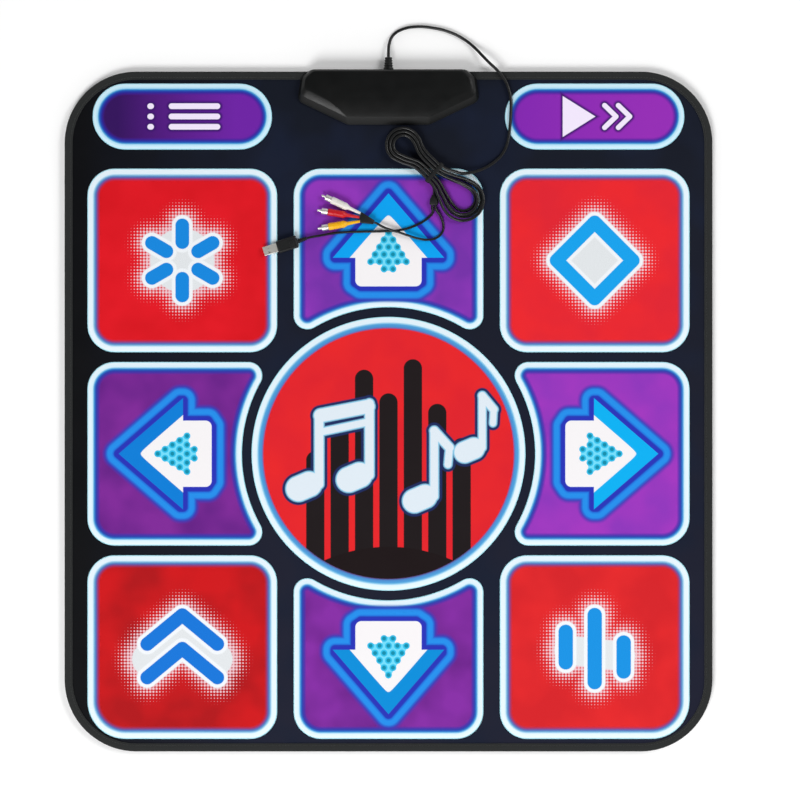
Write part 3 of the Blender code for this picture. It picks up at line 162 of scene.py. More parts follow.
EXIT_RADIUS, EXIT_TURN, EXIT_STRAIGHT = 0.016, math.radians(50), 0.0045
TIE_WIDTH, TIE_RISE = 0.005, 0.0012
SPLITTER_LENGTH, SPLITTER_HEIGHT, LEG_SPACING = 0.013, 0.006, 0.0042


def ease(share):
    """Goes smoothly from 0 to 1."""
    share = min(max(share, 0.0), 1.0)
    return share * share * (3 - 2 * share)


def hank_place(along, across, z):
    """A point along and across the hank, as it lies on the mat."""
    flat = HANK_PLACE + Matrix.Rotation(HANK_HEADING, 2) @ Vector((along, across))
    return Vector((flat.x, flat.y, z))


def hank_half_width(along, step):
    """Half the width of a loop, so many pitches out: narrow at the waist, wide at the folds."""
    waist = WAIST_HALF + step * WAIST_PITCH
    if along < 0:
        fold, share = FOLD_RADIUS + step * WAIST_PITCH, (along / HANK_UP - 0.4) / 0.6
    else:
        fold, share = FAN_RADIUS + step * FAN_PITCH, along / HANK_LOW
    return waist + (fold - waist) * ease(share)


def hank_height(turn, along):
    """The cord winds in on the upper layer, climbs down where its spiral turns back, and winds out."""
    layer = 1 - ease((turn - HANK_TURNBACK + 0.125) / 0.25)
    at_waist = 1 - ease((abs(along) - 4 * TIE_WIDTH) / (5 * TIE_WIDTH))
    return LYING + CORD / 2 + layer * HANK_LAYER + TIE_RISE * at_waist


def hank_point(turn):
    """A point of the winding by its turn. Two runs and two folds make one turn."""
    step = abs(turn - HANK_TURNBACK) - 0.125
    quarter = int(turn % 1.0 * 4)
    share = turn % 1.0 * 4 - quarter
    if quarter % 2 == 0:
        start, end = (HANK_LOW, HANK_UP) if quarter == 0 else (HANK_UP, HANK_LOW)
        along = start + (end - start) * share
        across = (1 if quarter == 0 else -1) * hank_half_width(along, step)
    else:
        centre, angle = (HANK_UP, math.pi / 2) if quarter == 1 else (HANK_LOW, -math.pi / 2)
        radius = hank_half_width(centre, step)
        along = centre + radius * math.cos(angle + math.pi * share)
        across = radius * math.sin(angle + math.pi * share)
    return along, across, hank_height(turn, along)


def hank_line():
    """The hank's points: its turns, then the bend and the straight end that enter the splitter."""
    first, last = HANK_TURNS
    count = round((last - first) * HANK_STEPS)
    points = [hank_place(*hank_point(first + (last - first) * i / count)) for i in range(count + 1)]
    along, across, _ = hank_point(last)
    onwards = hank_point(last + 1 / HANK_STEPS)
    start = math.atan2(across - onwards[1], onwards[0] - along)
    for i in range(1, 6):
        angle = start + (EXIT_TURN - start) * i / 5
        reach = along + EXIT_RADIUS * (math.sin(angle) - math.sin(start))
        out = across - EXIT_RADIUS * (math.cos(start) - math.cos(angle))
        points.append(hank_place(reach, out, hank_height(last, reach)))
    end = points[-1] + splitter_way * EXIT_STRAIGHT
    return points + [Vector((end.x, end.y, LYING + SPLITTER_HEIGHT / 2))]


def lay_cord(name, points, diameter):
    """A round cord on one smooth curve through the points of its route."""
    curve = bpy.data.curves.new(name, "CURVE")
    curve.dimensions = "3D"
    curve.bevel_depth, curve.bevel_resolution = diameter / 2, 5
    curve.resolution_u = 6
    curve.use_fill_caps = True
    spline = curve.splines.new("BEZIER")
    spline.bezier_points.add(len(points) - 1)
    for knot, point in zip(spline.bezier_points, points):
        knot.co = point
        knot.handle_left_type = knot.handle_right_type = "AUTO"
    piece = bpy.data.objects.new(name, curve)
    bpy.context.scene.collection.objects.link(piece)
    return piece


splitter_way = Vector((math.cos(HANK_HEADING - EXIT_TURN), math.sin(HANK_HEADING - EXIT_TURN), 0))
hank = hank_line()
arriving = (hank[1] - hank[0]).normalized()
main_points = [Vector(p) for p in LEAD_ROUTE] + [hank[0] - arriving * (CORD + FIT_GAP)] + hank
main_cord = lay_cord("main_cord", main_points, CORD)
give(main_cord, "mat", "cord", cord_pvc, "cable_lead", "cable_hank")

# The tie round the hank's waist, a flat band of black polythene, and the moulded splitter in which
# the main cord becomes two thinner leads. Both are moulded black plastic with a fine spark finish.
moulded = finish("Moulded black PVC", "#0d0e0f", 0.5, 0.35, grain=(2600, 2, 0.00006, 0.4))[0]


def alone(piece):
    """Makes a piece the active one and the only one selected."""
    bpy.ops.object.select_all(action="DESELECT")
    bpy.context.view_layer.objects.active = piece
    piece.select_set(True)


def copied(piece, name):
    """A copy of a piece with its own mesh, the only one selected."""
    twin = piece.copy()
    twin.data = piece.data.copy()
    for key in list(twin.keys()):
        del twin[key]
    twin.parent = None
    twin.name = name
    bpy.context.scene.collection.objects.link(twin)
    alone(twin)
    return twin


def changed(piece, kind, **settings):
    """Adds a modifier with its settings to the active piece, and applies it."""
    change = piece.modifiers.new(kind.lower(), kind)
    for name, value in settings.items():
        setattr(change, name, value)
    bpy.ops.object.modifier_apply(modifier=change.name)


def smoothed(degrees):
    """Leaves edit mode, and smooths where faces meet at less than an angle."""
    bpy.ops.object.mode_set(mode="OBJECT")
    bpy.ops.object.shade_smooth_by_angle(angle=math.radians(degrees))


def merged(within=0.000002):
    """In edit mode, selects all and merges the points that lie together."""
    bpy.ops.mesh.select_all(action="SELECT")
    bpy.ops.mesh.remove_doubles(threshold=within)


def refined(node, width, name=None, angle=30):
    """A new piece from a CAD node's mesh, merged, with its sharp edges broken as a mould's are."""
    piece = copied(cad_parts[node], name or node + "_made")
    bpy.ops.mesh.customdata_custom_splitnormals_clear()
    bpy.ops.object.mode_set(mode="EDIT")
    merged()
    bpy.ops.mesh.dissolve_limited(angle_limit=math.radians(1))
    bpy.ops.object.mode_set(mode="OBJECT")
    if width:
        limit = math.radians(angle)
        changed(piece, "BEVEL", width=width, segments=3, limit_method="ANGLE", angle_limit=limit)
    smoothed(angle + 5)
    return piece


tie = give(refined("cable_tie", 0.00015), "mat", "plug", moulded, "cable_tie")
splitter = give(refined("y_splitter", 0.0004), "mat", "plug", moulded, "y_splitter")

# The USB lead and its plug: a thin lead, a ribbed boot, a moulded grip, the folded shell in
# nickel-plated steel and the nylon tongue with its contacts.
USB_ROUTE = [
    (0.0579, 0.2607, 0.0112), (0.0525, 0.2543, 0.0106), (0.0446, 0.2486, 0.0106),
    (0.0348, 0.2436, 0.0106), (0.0230, 0.2396, 0.0106), (0.0098, 0.2373, 0.0106),
    (-0.0059, 0.2364, 0.0106), (-0.0230, 0.2361, 0.0106), (-0.0413, 0.2357, 0.0106),
    (-0.0597, 0.2349, 0.0107), (-0.0754, 0.2333, 0.0112), (-0.0875, 0.2310, 0.0122),
]
USB_PLACE, USB_HEADING = (-0.1325, 0.2191), math.radians(197.3)
USB_BODY, USB_BOOT_LENGTH = (0.0275, 0.0165, 0.008), 0.0125

splitter_end = hank[-1] + splitter_way * (FIT_GAP * 2 + SPLITTER_LENGTH)
to_right = Vector((splitter_way.y, -splitter_way.x, 0)) * LEG_SPACING / 2
usb_frame = Matrix.Translation((*USB_PLACE, LYING + USB_BODY[2] / 2)) @ Matrix.Rotation(USB_HEADING, 4, "Z")
usb_end = usb_frame @ Vector((-USB_BODY[0] / 2 - USB_BOOT_LENGTH - 2 * FIT_GAP, 0, 0))
usb_way = Vector((math.cos(USB_HEADING), math.sin(USB_HEADING), 0))
usb_start = splitter_end + to_right


def lay_lead(name, start, route, end, way):
    """One of the two thin leads, straight where it leaves the splitter and where it arrives."""
    points = [start, start + splitter_way * THIN_CORD] + [Vector(p) for p in route]
    piece = lay_cord(name + "_pvc", points + [end - way * THIN_CORD, end], THIN_CORD)
    return give(piece, "mat", "cord", cord_pvc, name)


usb_lead = lay_lead("usb_lead", usb_start, USB_ROUTE, usb_end, usb_way)


def started(primitive, name, **sizes):
    """Adds a primitive to be shaped, the only thing selected, and enters edit mode."""
    bpy.ops.object.select_all(action="DESELECT")
    primitive(**sizes)
    bpy.ops.object.transform_apply()
    bpy.context.object.name = name
    bpy.ops.object.mode_set(mode="EDIT")
    return bpy.context.object


def extruded(way):
    """In edit mode, extrudes what is selected."""
    bpy.ops.mesh.extrude_region_move(TRANSFORM_OT_translate={"value": way})


# About how far one edge of an arc reaches, in radians and in m
TURN_STEP, ARC_STEP = 0.12, 0.006


def draw(line, height=None):
    """Draws a line in edit mode: a point to start at, then points and arcs, an arc as (centre, turn).

    It lies flat at a height, or stands on (radius, distance) points where none is given.
    """
    def at(point):
        return Vector((point[0], 0, point[1]) if height is None else (*point, height))

    piece = started(bpy.ops.mesh.primitive_plane_add, "line", size=0.0001)
    bpy.ops.mesh.select_mode(type="VERT")
    bpy.ops.mesh.merge(type="CENTER")
    here = at(line[0])
    bpy.ops.transform.translate(value=here)
    for stroke in line[1:]:
        if isinstance(stroke[0], tuple):
            centre, turn = at(stroke[0]), stroke[1]
            arc = abs(turn) * (here - centre).length
            steps = max(3, round(abs(turn) / TURN_STEP), round(arc / ARC_STEP))
            bpy.ops.mesh.spin(steps=steps, angle=-turn, center=centre, axis=(0, 0, 1))
            here = centre + Matrix.Rotation(turn, 3, "Z") @ (here - centre)
        else:
            extruded(at(stroke) - here)
            here = at(stroke)
    merged()
    return piece


def faced_out():
    """In edit mode, selects all, turns the faces outwards and goes back to object mode."""
    bpy.ops.mesh.select_all(action="SELECT")
    bpy.ops.mesh.normals_make_consistent(inside=False)
    bpy.ops.object.mode_set(mode="OBJECT")


def turned(name, profile, place, way):
    """A piece turned on its axis from (radius, distance) points, then laid along its heading."""
    piece = draw(profile)
    piece.name = name
    bpy.ops.mesh.spin(steps=48, angle=math.tau, center=(0, 0, 0), axis=(0, 0, 1))
    merged(0.00001)
    faced_out()
    turn = Vector(way).to_track_quat("Z", "Y").to_matrix().to_4x4()
    piece.data.transform(Matrix.Translation(place) @ turn)
    smoothed(32)
    return piece


# Nickel plate: a bright, slightly yellow metal with a satin skin, rubbed unevenly by use
nickel = finish("Nickel plate", "#e6e4dd", 0.46, 0.5, wear=(700, 3, 0.38, 0.54), Metallic=1.0)[0]
# Moulded nylon: cream white and waxy, with a cloudy gloss
nylon = finish("Natural nylon", "#e8e5da", 0.45, 0.4, wear=(300, 2, 0.38, 0.52))[0]

ribs, pitch = 5, USB_BOOT_LENGTH / 5
profile = [(0, -USB_BOOT_LENGTH), (0.0019, -USB_BOOT_LENGTH)]
for i in range(ribs):
    start, radius = -USB_BOOT_LENGTH + i * pitch, 0.0024 + 0.0008 * i / (ribs - 1)
    profile += [(radius, start + 0.1 * pitch), (radius, start + 0.62 * pitch)]
    profile += [(radius - 0.0005, start + 0.7 * pitch), (radius - 0.0005, start + 0.95 * pitch)]
profile += [(0.0032, 0), (0, 0)]
usb_boot = turned(
    "usb_boot_ribbed", profile, usb_frame @ Vector((-USB_BODY[0] / 2 - FIT_GAP, 0, 0)), usb_way
)
give(usb_boot, "mat", "plug", moulded, "usb_boot")

usb_grip = started(bpy.ops.mesh.primitive_cube_add, "usb_grip", size=1)
bpy.ops.transform.resize(value=USB_BODY)
bpy.ops.mesh.bevel(offset=0.0021, segments=5, affect="EDGES")


def choose(kind, wanted):
    """In edit mode, selects only the points, edges or faces for which wanted is true."""
    mesh = bpy.context.object.data
    bpy.ops.object.mode_set(mode="EDIT")
    bpy.ops.mesh.select_mode(type=kind)
    bpy.ops.mesh.select_all(action="DESELECT")
    bpy.ops.object.mode_set(mode="OBJECT")
    for part in {"VERT": mesh.vertices, "EDGE": mesh.edges, "FACE": mesh.polygons}[kind]:
        part.select = bool(wanted(part))
    bpy.ops.object.mode_set(mode="EDIT")


# The grip's upper and lower faces have a sunk panel, with three raised bars across its tail
choose("FACE", lambda face: abs(face.normal.z) > 0.99)
bpy.ops.mesh.inset(thickness=0.0009)
bpy.ops.mesh.inset(thickness=0.0003, depth=-0.00035)
for across in (0.0085, 0.006, 0.0035):
    for up in (0.0037, -0.0037):
        bpy.ops.mesh.primitive_cube_add(size=1, location=(-across, 0, up), scale=(0.0011, 0.0095, 0.0006))
        bpy.ops.mesh.bevel(offset=0.00025, segments=2, affect="EDGES")
bpy.ops.object.mode_set(mode="OBJECT")
usb_grip.data.transform(usb_frame)
smoothed(32)
give(usb_grip, "mat", "plug", moulded, "usb_body")
give(refined("usb_shell", 0.00012), "mat", "nickel", nickel, "usb_shell")
bpy.ops.object.shade_flat()
coat(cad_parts["usb_tongue"], nylon)

# The AV lead, the moulded junction at its end, and three phono plugs, white, red and yellow. Each
# plug is one moulding whose tail is its strain relief, with a nickel-plated collar and centre pin.
AV_ROUTE = [
    (0.0671, 0.2577, 0.0110), (0.0706, 0.2499, 0.0106), (0.0720, 0.2420, 0.0106),
    (0.0700, 0.2341, 0.0107), (0.0626, 0.2276, 0.0110), (0.0512, 0.2252, 0.0120),
    (0.0387, 0.2268, 0.0134), (0.0262, 0.2305, 0.0144), (0.0138, 0.2347, 0.0147),
    (0.0020, 0.2383, 0.0146), (-0.0078, 0.2422, 0.0141),
]
JUNCTION_ENTRY, JUNCTION_HEIGHT = Vector((-0.0190, 0.2479)), 0.008
RCA_PLUGS = {
    "white": ("#e6e3dc", (-0.0367, 0.2597), math.radians(155)),
    "red": ("#c8101c", (-0.0380, 0.2546), math.radians(170.5)),
    "yellow": ("#f2b50e", (-0.0374, 0.2492), math.radians(189.9)),
}
RCA_RELIEF, RCA_GRIP, RCA_RADIUS = 0.020, 0.022, 0.00475
RCA_COLLAR_RADIUS, RCA_COLLAR_LENGTH, RCA_COLLAR_WALL = 0.00415, 0.008, 0.0004
RCA_PIN_RADIUS, RCA_PIN_LENGTH = 0.0016, 0.014

junction_way = sum((Vector(at) for _, at, _ in RCA_PLUGS.values()), Vector((0, 0))) / 3 - JUNCTION_ENTRY
junction_way = junction_way.normalized().to_3d()
av_end = Vector((*JUNCTION_ENTRY, LYING + JUNCTION_HEIGHT / 2)) - junction_way * FIT_GAP
av_start = splitter_end - to_right
av_lead = lay_lead("av_lead", av_start, AV_ROUTE, av_end, junction_way)
junction = give(refined("av_junction", 0.0007), "mat", "plug", moulded, "av_junction")

front = RCA_RELIEF + RCA_GRIP
body = [
    (0, 0), (0.0017, 0), (0.0018, 0.0006), (0.0021, 0.009), (0.0025, RCA_RELIEF - 0.0035),
    (0.0031, RCA_RELIEF - 0.0022), (0.0040, RCA_RELIEF - 0.0004),
    (RCA_RADIUS - 0.0002, RCA_RELIEF + 0.0006), (RCA_RADIUS, RCA_RELIEF + 0.0016),
]
for i in range(5):
    start = RCA_RELIEF + 0.0045 + i * 0.0024
    body += [(RCA_RADIUS, start), (RCA_RADIUS - 0.0004, start + 0.0003)]
    body += [(RCA_RADIUS - 0.0004, start + 0.0009), (RCA_RADIUS, start + 0.0012)]
body += [(RCA_RADIUS, front - 0.0009), (RCA_RADIUS - 0.0002, front - 0.0003)]
body += [(RCA_RADIUS - 0.0006, front), (0, front)]
start = front + FIT_GAP
outer, inner = RCA_COLLAR_RADIUS, RCA_COLLAR_RADIUS - RCA_COLLAR_WALL
end, tip = start + RCA_COLLAR_LENGTH, start + RCA_PIN_LENGTH
collar = [
    (outer, end - 0.0004), (outer, start), (inner, start), (inner, end - 0.0002),
    (inner + 0.0001, end), (outer - 0.0001, end),
]
seat = inner - FIT_GAP
pin = [
    (0, start), (seat, start), (seat, start + 0.0015), (RCA_PIN_RADIUS, start + 0.0016),
    (RCA_PIN_RADIUS, tip - 0.0016), (RCA_PIN_RADIUS * 0.85, tip - 0.0007),
    (RCA_PIN_RADIUS * 0.5, tip - 0.0001), (0, tip),
]
for colour, (ink, at, angle) in RCA_PLUGS.items():
    at, way = (*at, LYING + RCA_RADIUS), (math.cos(angle), math.sin(angle), 0)
    # Moulded PVC is even in colour, with a soft skin gloss and a fine mould texture
    phono_pvc = finish(f"Moulded {colour} PVC", ink, 0.42, 0.4, grain=(1500, 2, 0.00005, 0.3))[0]
    for form, node, profile, slot, material in (
        ("grip", "body", body, colour, phono_pvc),
        ("collar", "shell", collar + collar[:1], "nickel", nickel), ("pin", "pin", pin, "nickel", nickel),
    ):
        piece = turned(f"phono_{form}_{colour}", profile, at, way)
        give(piece, "mat", slot, material, f"rca_{node}_{colour}")

# The bottom sheet: non-slip black PVC foam, knife cut to the mat's outline and round the control box.
# Low pimples are moulded on its underside, and the binding tape holds its rim.
MAT_WIDTH, MAT_DEPTH, MAT_CORNER = 0.850, 0.892, 0.094
RIM = 0.0011
BOX_HALF, BOX_DEPTH, BOX_SKIRT, BOX_ROUND = 0.1195, 0.0725, 0.008, 0.0045
NOTCH_CLEARANCE, CUT_FROM, CUT_HEIGHT = 0.0004, -0.01, 0.04
PIMPLE_PITCH, PIMPLE_HEIGHT, SHEET_AREA = 0.125, 0.0014, 0.73


def box_plan(rear, chamfer, side, slope, front):
    """The control box's eight corners in plan, with its sides moved inwards by their own distances."""
    right = [
        (BOX_HALF - 0.066, BOX_REAR - BOX_DEPTH), (BOX_HALF, BOX_REAR - 0.041),
        (BOX_HALF - 0.0045, BOX_REAR - 0.011), (BOX_HALF - 0.0175, BOX_REAR),
    ]
    corners = [Vector(p) for p in right + [(-x, y) for x, y in reversed(right)]]
    lines = []
    for i, distance in enumerate([slope, side, chamfer, rear, chamfer, side, slope, front]):
        along = (corners[(i + 1) % 8] - corners[i]).normalized()
        lines.append((corners[i] + Vector((-along.y, along.x)) * distance, along))
    moved = []
    for (p, a), (q, b) in zip([lines[-1]] + lines[:-1], lines):
        moved.append(p + a * ((q - p).cross(b) / a.cross(b)))
    return moved


def box_cutter(*insets):
    """A prism through the whole mat on the box's plan with round corners, to cut with."""
    corners = [(point.x, point.y) for point in box_plan(*insets)]
    piece = draw(corners + corners[:1], CUT_FROM)
    bpy.ops.mesh.edge_face_add()
    bpy.ops.mesh.bevel(offset=BOX_ROUND, segments=6, affect="VERTICES")
    extruded((0, 0, CUT_HEIGHT))
    return piece


def cut_out(piece, cutter, operation="DIFFERENCE"):
    """Cuts a solid away from a piece, or keeps only what is in both, and removes that solid."""
    bpy.ops.object.mode_set(mode="OBJECT")
    alone(cutter)
    bpy.ops.object.mode_set(mode="EDIT")
    faced_out()
    alone(piece)
    changed(piece, "BOOLEAN", operation=operation, object=cutter, solver="EXACT")
    bpy.data.objects.remove(cutter)
    return piece


def rectangle(name, width, depth, middle):
    """A flat rectangle to be shaped, in edit mode."""
    piece = started(bpy.ops.mesh.primitive_plane_add, name, size=1)
    bpy.ops.transform.resize(value=(width, depth, 1))
    bpy.ops.transform.translate(value=middle)
    return piece


def rounded_slab(name, width, depth, corner, low, high):
    """A flat block with round corners."""
    piece = rectangle(name, width, depth, (0, 0, low))
    bpy.ops.mesh.bevel(offset=corner, segments=20, affect="VERTICES")
    extruded((0, 0, high - low))
    faced_out()
    return piece


def layer(name, low, high):
    """One layer of the mat, with a notch for the box's tray that is open to the rear."""
    piece = rounded_slab(name, MAT_WIDTH - 2 * RIM, MAT_DEPTH - 2 * RIM, MAT_CORNER - RIM, low, high)
    skirt = BOX_SKIRT - NOTCH_CLEARANCE
    return cut_out(piece, box_cutter(-NOTCH_CLEARANCE - 0.02, -NOTCH_CLEARANCE, skirt, skirt, skirt))


def faded(under, colour, value, start, full):
    """Lays a colour over what is under it: none where the value is at start, and all of it at full."""
    share = add("MapRange", {"Value": value, "From Min": start, "From Max": full})
    return add("Mix", {0: share, 6: under, 7: colour}, data_type="RGBA")


# Foamed PVC: dull, nearly black, with a woven-looking grain of 3 mm dots that grip the floor
backing, shader, place = finish("Non-slip foamed PVC", "#1d1e20", 0.85, 0.2)
cells = add("TexVoronoi", {"Vector": place, "Scale": 330.0, "Randomness": 0.12})
dots = add("MapRange", {"Value": cells, "From Min": 0.45, "From Max": 0.15})
wire(shader, {
    "Normal": add("Bump", {"Height": dots, "Distance": 0.0003, "Strength": 0.8}),
    "Base Color": faded("#17181a", "#26272a", cells, 0.45, 0.15),
})
base = layer("base_sheet", 0.0011, 0.0019)
pimple = started(
    bpy.ops.mesh.primitive_cone_add, "pimple", vertices=20, radius1=0.003, radius2=0.004,
    depth=PIMPLE_HEIGHT, location=(0, 0, PIMPLE_HEIGHT / 2),
)
bpy.ops.object.mode_set(mode="OBJECT")
pimples = []
for i in range(-3, 4):
    for j in range(-3, 4):
        x, y = i * PIMPLE_PITCH, j * PIMPLE_PITCH
        under_box = abs(x) < BOX_HALF + 0.005 and y > BOX_REAR - BOX_DEPTH - 0.005
        if under_box or (abs(i) == 3 and abs(j) == 3):
            continue
        pimples.append(copied(pimple, "pimple"))
        pimples[-1].data.transform(Matrix.Translation((x, y, 0)))
bpy.data.objects.remove(pimple)
for piece in pimples + [base]:
    piece.select_set(True)
bpy.context.view_layer.objects.active = base
bpy.ops.object.join()
smoothed(30)
give(base, "mat", "base", backing, "non_slip_base")

# The two switch films, clear polyester with printed silver tracks and a tail into the box, and the
# white EVA foam between them. The upper film and the foam are cut into zones that follow the pads.
# Polyester film: glassy and greyish, with satin silver tracks 6 mm apart
film, shader, place = finish("Printed polyester film", "#c4cbce", 0.22, 0.5)
tracks = add("TexWave", {"Vector": place, "Scale": 55.0, "Distortion": 0.0}, bands_direction="X")
wire(shader, {"Base Color": faded("#cdd5d8", "#8f9497", tracks.outputs["Fac"], 0.62, 0.7)})
# EVA foam: matt, off-white, with open pores about 1 mm wide
foam_eva, shader, place = finish("White EVA foam", "#dcdcd6", 0.9, 0.2)
pores = add("TexVoronoi", {"Vector": place, "Scale": 900.0})
wire(shader, {"Normal": add("Bump", {"Height": pores, "Distance": 0.0002, "Strength": 0.5})})


def laid_sheet(piece, body, slot, material, under, *nodes):
    give(piece, body, slot, material, *nodes)
    return piece


laid_sheet(refined("lower_circuit_film", 0.0, "lower_film"), "mat", "film", film, "non_slip_base",
           "lower_circuit_film")
foam_sheet = refined("foam_spacer", 0.0, "foam_sheet")
upper_film = refined("upper_circuit_film", 0.0, "upper_film")

# The printed top of the mat is calendered PVC, screen printed and slightly grained. The ink rings
# round each pad follow from_edge, the distance in mm inside its edge.
SIDE_MARGIN, FRONT_MARGIN, REAR_MARGIN = 0.030, 0.0165, 0.0157
COLUMN_GAP, ROW_GAP, CAPSULE_GAP, CAPSULE_DEPTH = 0.0215, 0.0126, 0.025, 0.0866
PAD_WIDTH = (MAT_WIDTH - 2 * SIDE_MARGIN - 2 * COLUMN_GAP) / 3
PAD_DEPTH = (MAT_DEPTH - FRONT_MARGIN - REAR_MARGIN - CAPSULE_DEPTH - CAPSULE_GAP - 2 * ROW_GAP) / 3
COLUMN, ROW = PAD_WIDTH + COLUMN_GAP, PAD_DEPTH + ROW_GAP
MIDDLE_Y = -MAT_DEPTH / 2 + FRONT_MARGIN + ROW + PAD_DEPTH / 2
CAPSULE_Y = MAT_DEPTH / 2 - REAR_MARGIN - CAPSULE_DEPTH / 2
PAD_CORNER, PAD_OUTER_CORNER, ARROW_TIP, DISC_GAP, DISC_TO_PAD = 0.036, 0.050, 0.018, 0.0125, 0.0327
DISC_RADIUS = math.hypot(
    COLUMN - PAD_WIDTH / 2 + PAD_CORNER, ROW - PAD_DEPTH / 2 + PAD_CORNER
) - PAD_CORNER - DISC_TO_PAD
RING_REACH = 0.0172


def vinyl(name, colour, middle=(0, 0), turn=0.0):
    """Calendered PVC: a soft satin skin with a fine grain, and a slow waviness from lying on foam.

    Its last result is the place in mm from the print's middle, turned with the print.
    """
    material, shader, place = finish(name, colour, 0.5, 0.12, wear=(26, 3, 0.42, 0.58))
    grain = add("TexNoise", {"Vector": place, "Scale": 950.0, "Detail": 3.0, "Roughness": 0.6})
    waves = add("TexNoise", {"Vector": place, "Scale": 9.0, "Detail": 1.0})
    slow = add("Bump", {"Height": waves, "Distance": 0.004, "Strength": 0.25})
    wire(shader, {
        "Normal": add("Bump", {"Height": grain, "Distance": 0.00007, "Strength": 0.35, "Normal": slow}),
    })
    on_print = add("Mapping", {
        "Vector": place, "Location": (*middle, 0), "Rotation": (0, 0, turn), "Scale": (0.001, 0.001, 1),
    }, vector_type="TEXTURE")
    return material, shader, place, on_print


def mottled(place, bright, dark):
    """A printed field that isn't quite even."""
    patches = add("TexNoise", {"Vector": place, "Scale": 16.0, "Detail": 2.0})
    return faded(bright, dark, patches, 0.35, 0.65)


def banded(under, gap, reach, stops):
    """Prints a run of inks along a distance, from (mm, hex colour, cover) stops up to its reach."""
    ramp = add("ValToRGB", {"Fac": add("Math MULTIPLY", [gap, 1 / reach])})
    first, last = ramp.color_ramp.elements
    for element, (at, colour, cover) in [(first, stops[0]), (last, stops[-1])]:
        element.position, element.color = at / reach, (*linear(colour)[:3], cover)
    for at, colour, cover in stops[1:-1]:
        ramp.color_ramp.elements.new(at / reach).color = (*linear(colour)[:3], cover)
    return add("Mix", {0: ramp.outputs["Alpha"], 6: under, 7: ramp}, data_type="RGBA")


def ringed(field, stops):
    """The ink rings along a pad's edge, over its field. All start pale; stops are in mm."""
    from_edge = add("Attribute", {}, field.id_data, attribute_name="from_edge").outputs["Fac"]
    return banded(field, from_edge, RING_REACH * 1000, stops)


def mark_from_edge(piece):
    """Stores how far each point lies inside the piece's edge, in mm."""
    mesh = piece.data
    points = np.array([v.co[:] for v in mesh.vertices])
    low = points[:, 2].min() + 1e-6
    rim = np.array([e.vertices[:] for e in mesh.edges if (points[e.vertices[:], 2] < low).all()])
    a, along = points[rim[:, 0], :2], points[rim[:, 1], :2] - points[rim[:, 0], :2]
    values = []
    for p in points[:, :2]:
        share = np.clip(((p - a) * along).sum(1) / (along**2).sum(1), 0, 1)
        values.append(np.linalg.norm(p - a - along * share[:, None], axis=1).min() * 1000)
    mesh.attributes.new("from_edge", "FLOAT", "POINT").data.foreach_set("value", values)


def rolled(piece, roll, segments):
    """Rolls a patch's upper edge and sets off the field inside its ink rings."""
    choose("FACE", lambda face: face.normal.z > 0.99)
    bpy.ops.mesh.select_mode(type="EDGE")
    bpy.ops.mesh.bevel(offset=roll, segments=segments, affect="EDGES")
    choose("FACE", lambda face: face.normal.z > 0.99 and face.area > 0.002)
    bpy.ops.mesh.inset(thickness=RING_REACH - roll)
    smoothed(40)
    mark_from_edge(piece)
    return piece


def shape_pad(name):
    """Turns a filled outline at cover height, in edit mode, into a pad with a rolled edge."""
    bpy.context.object.name = name
    bpy.ops.mesh.select_all(action="SELECT")
    extruded((0, 0, PAD_TOP - COVER))
    faced_out()
    return rolled(bpy.context.object, 0.0007, 4)


def figure(place, *strokes):
    """Distance in mm outside a figure of straight strokes with round ends, each (start, end, width)."""
    nearest = None
    for start, end, width in strokes:
        along = Vector((*end, 0)) - Vector((*start, 0))
        step = along / max(along.length_squared, 1e-6)
        offset = add("VectorMath SUBTRACT", [place, (*start, 0)])
        share = add("VectorMath DOT_PRODUCT", [offset, step])
        held = add("Math ADD", [share, 0.0], use_clamp=True)
        foot = add("VectorMath SCALE", {0: along, "Scale": held})
        gap = add("VectorMath DISTANCE", [offset, foot])
        gap = add("Math SUBTRACT", [gap, width / 2])
        nearest = add("Math MINIMUM", [nearest, gap]) if nearest else gap
    return nearest


def printed(under, colour, gap, edge=0.0, soft=0.4):
    """Prints an ink where the distance gap is under edge, with the soft edge of screen ink."""
    return faded(under, colour, gap, edge + soft, edge - soft)


def folded(place, *axes):
    """A place mirrored onto the positive side of some axes, so that one stroke prints on both."""
    signs = tuple(-1 if axis in axes else 1 for axis in "xyz")
    other = add("VectorMath MULTIPLY", [place, signs])
    return add("VectorMath MAXIMUM", [place, other])


# The four corner pads, red, each with a figure in thick blue strokes on a white glow that a
# halftone screen fades into the red. The figures are plain ones: rays, a diamond, chevrons and bars.
PALE_EDGE = [(0.0, "#7fcbe0", 1), (0.9, "#c4ecf6", 1), (2.2, "#e6f3fb", 1)]
RED_RING = PALE_EDGE + [
    (6.8, "#e0f1fa", 1), (8.2, "#9fd0ea", 1), (9.8, "#5f98cc", 1), (11.8, "#4c60b0", 0.95),
    (14.0, "#7a3c7c", 0.65), (17.0, "#a82c48", 0.0),
]


def corner_figure(on_pad, motif):
    """The distance to a corner pad's figure, and to the plain patch that lies behind it."""
    if motif == "rays":
        both = folded(on_pad, "x", "y")
        gap = figure(both, ((0, 24), (0, 46), 18), ((20.8, 12), (39.8, 23), 18))
        return gap, figure(both, ((0, 0), (0.1, 0), 84))
    if motif == "diamond":
        both = folded(on_pad, "x", "y")
        slant = add("VectorMath DOT_PRODUCT", [both, (0.7071, 0.7071, 0)])
        inside = add("Math SUBTRACT", [slant, 35.4])
        return figure(both, ((50, 0), (0, 50), 18)), inside
    if motif == "chevrons":
        side = folded(on_pad, "x")
        gap = figure(side, ((0, 42), (46, 4), 18), ((0, -2), (46, -40), 18))
        return gap, figure(side, ((0, 20), (44, -16), 44))
    bars = [((-38, -20), (-38, 20), 19), ((0, -46), (0, 42), 19), ((38, -32), (38, 6), 19)]
    return figure(on_pad, *bars), figure(on_pad, ((-34, -4), (34, -12), 38))


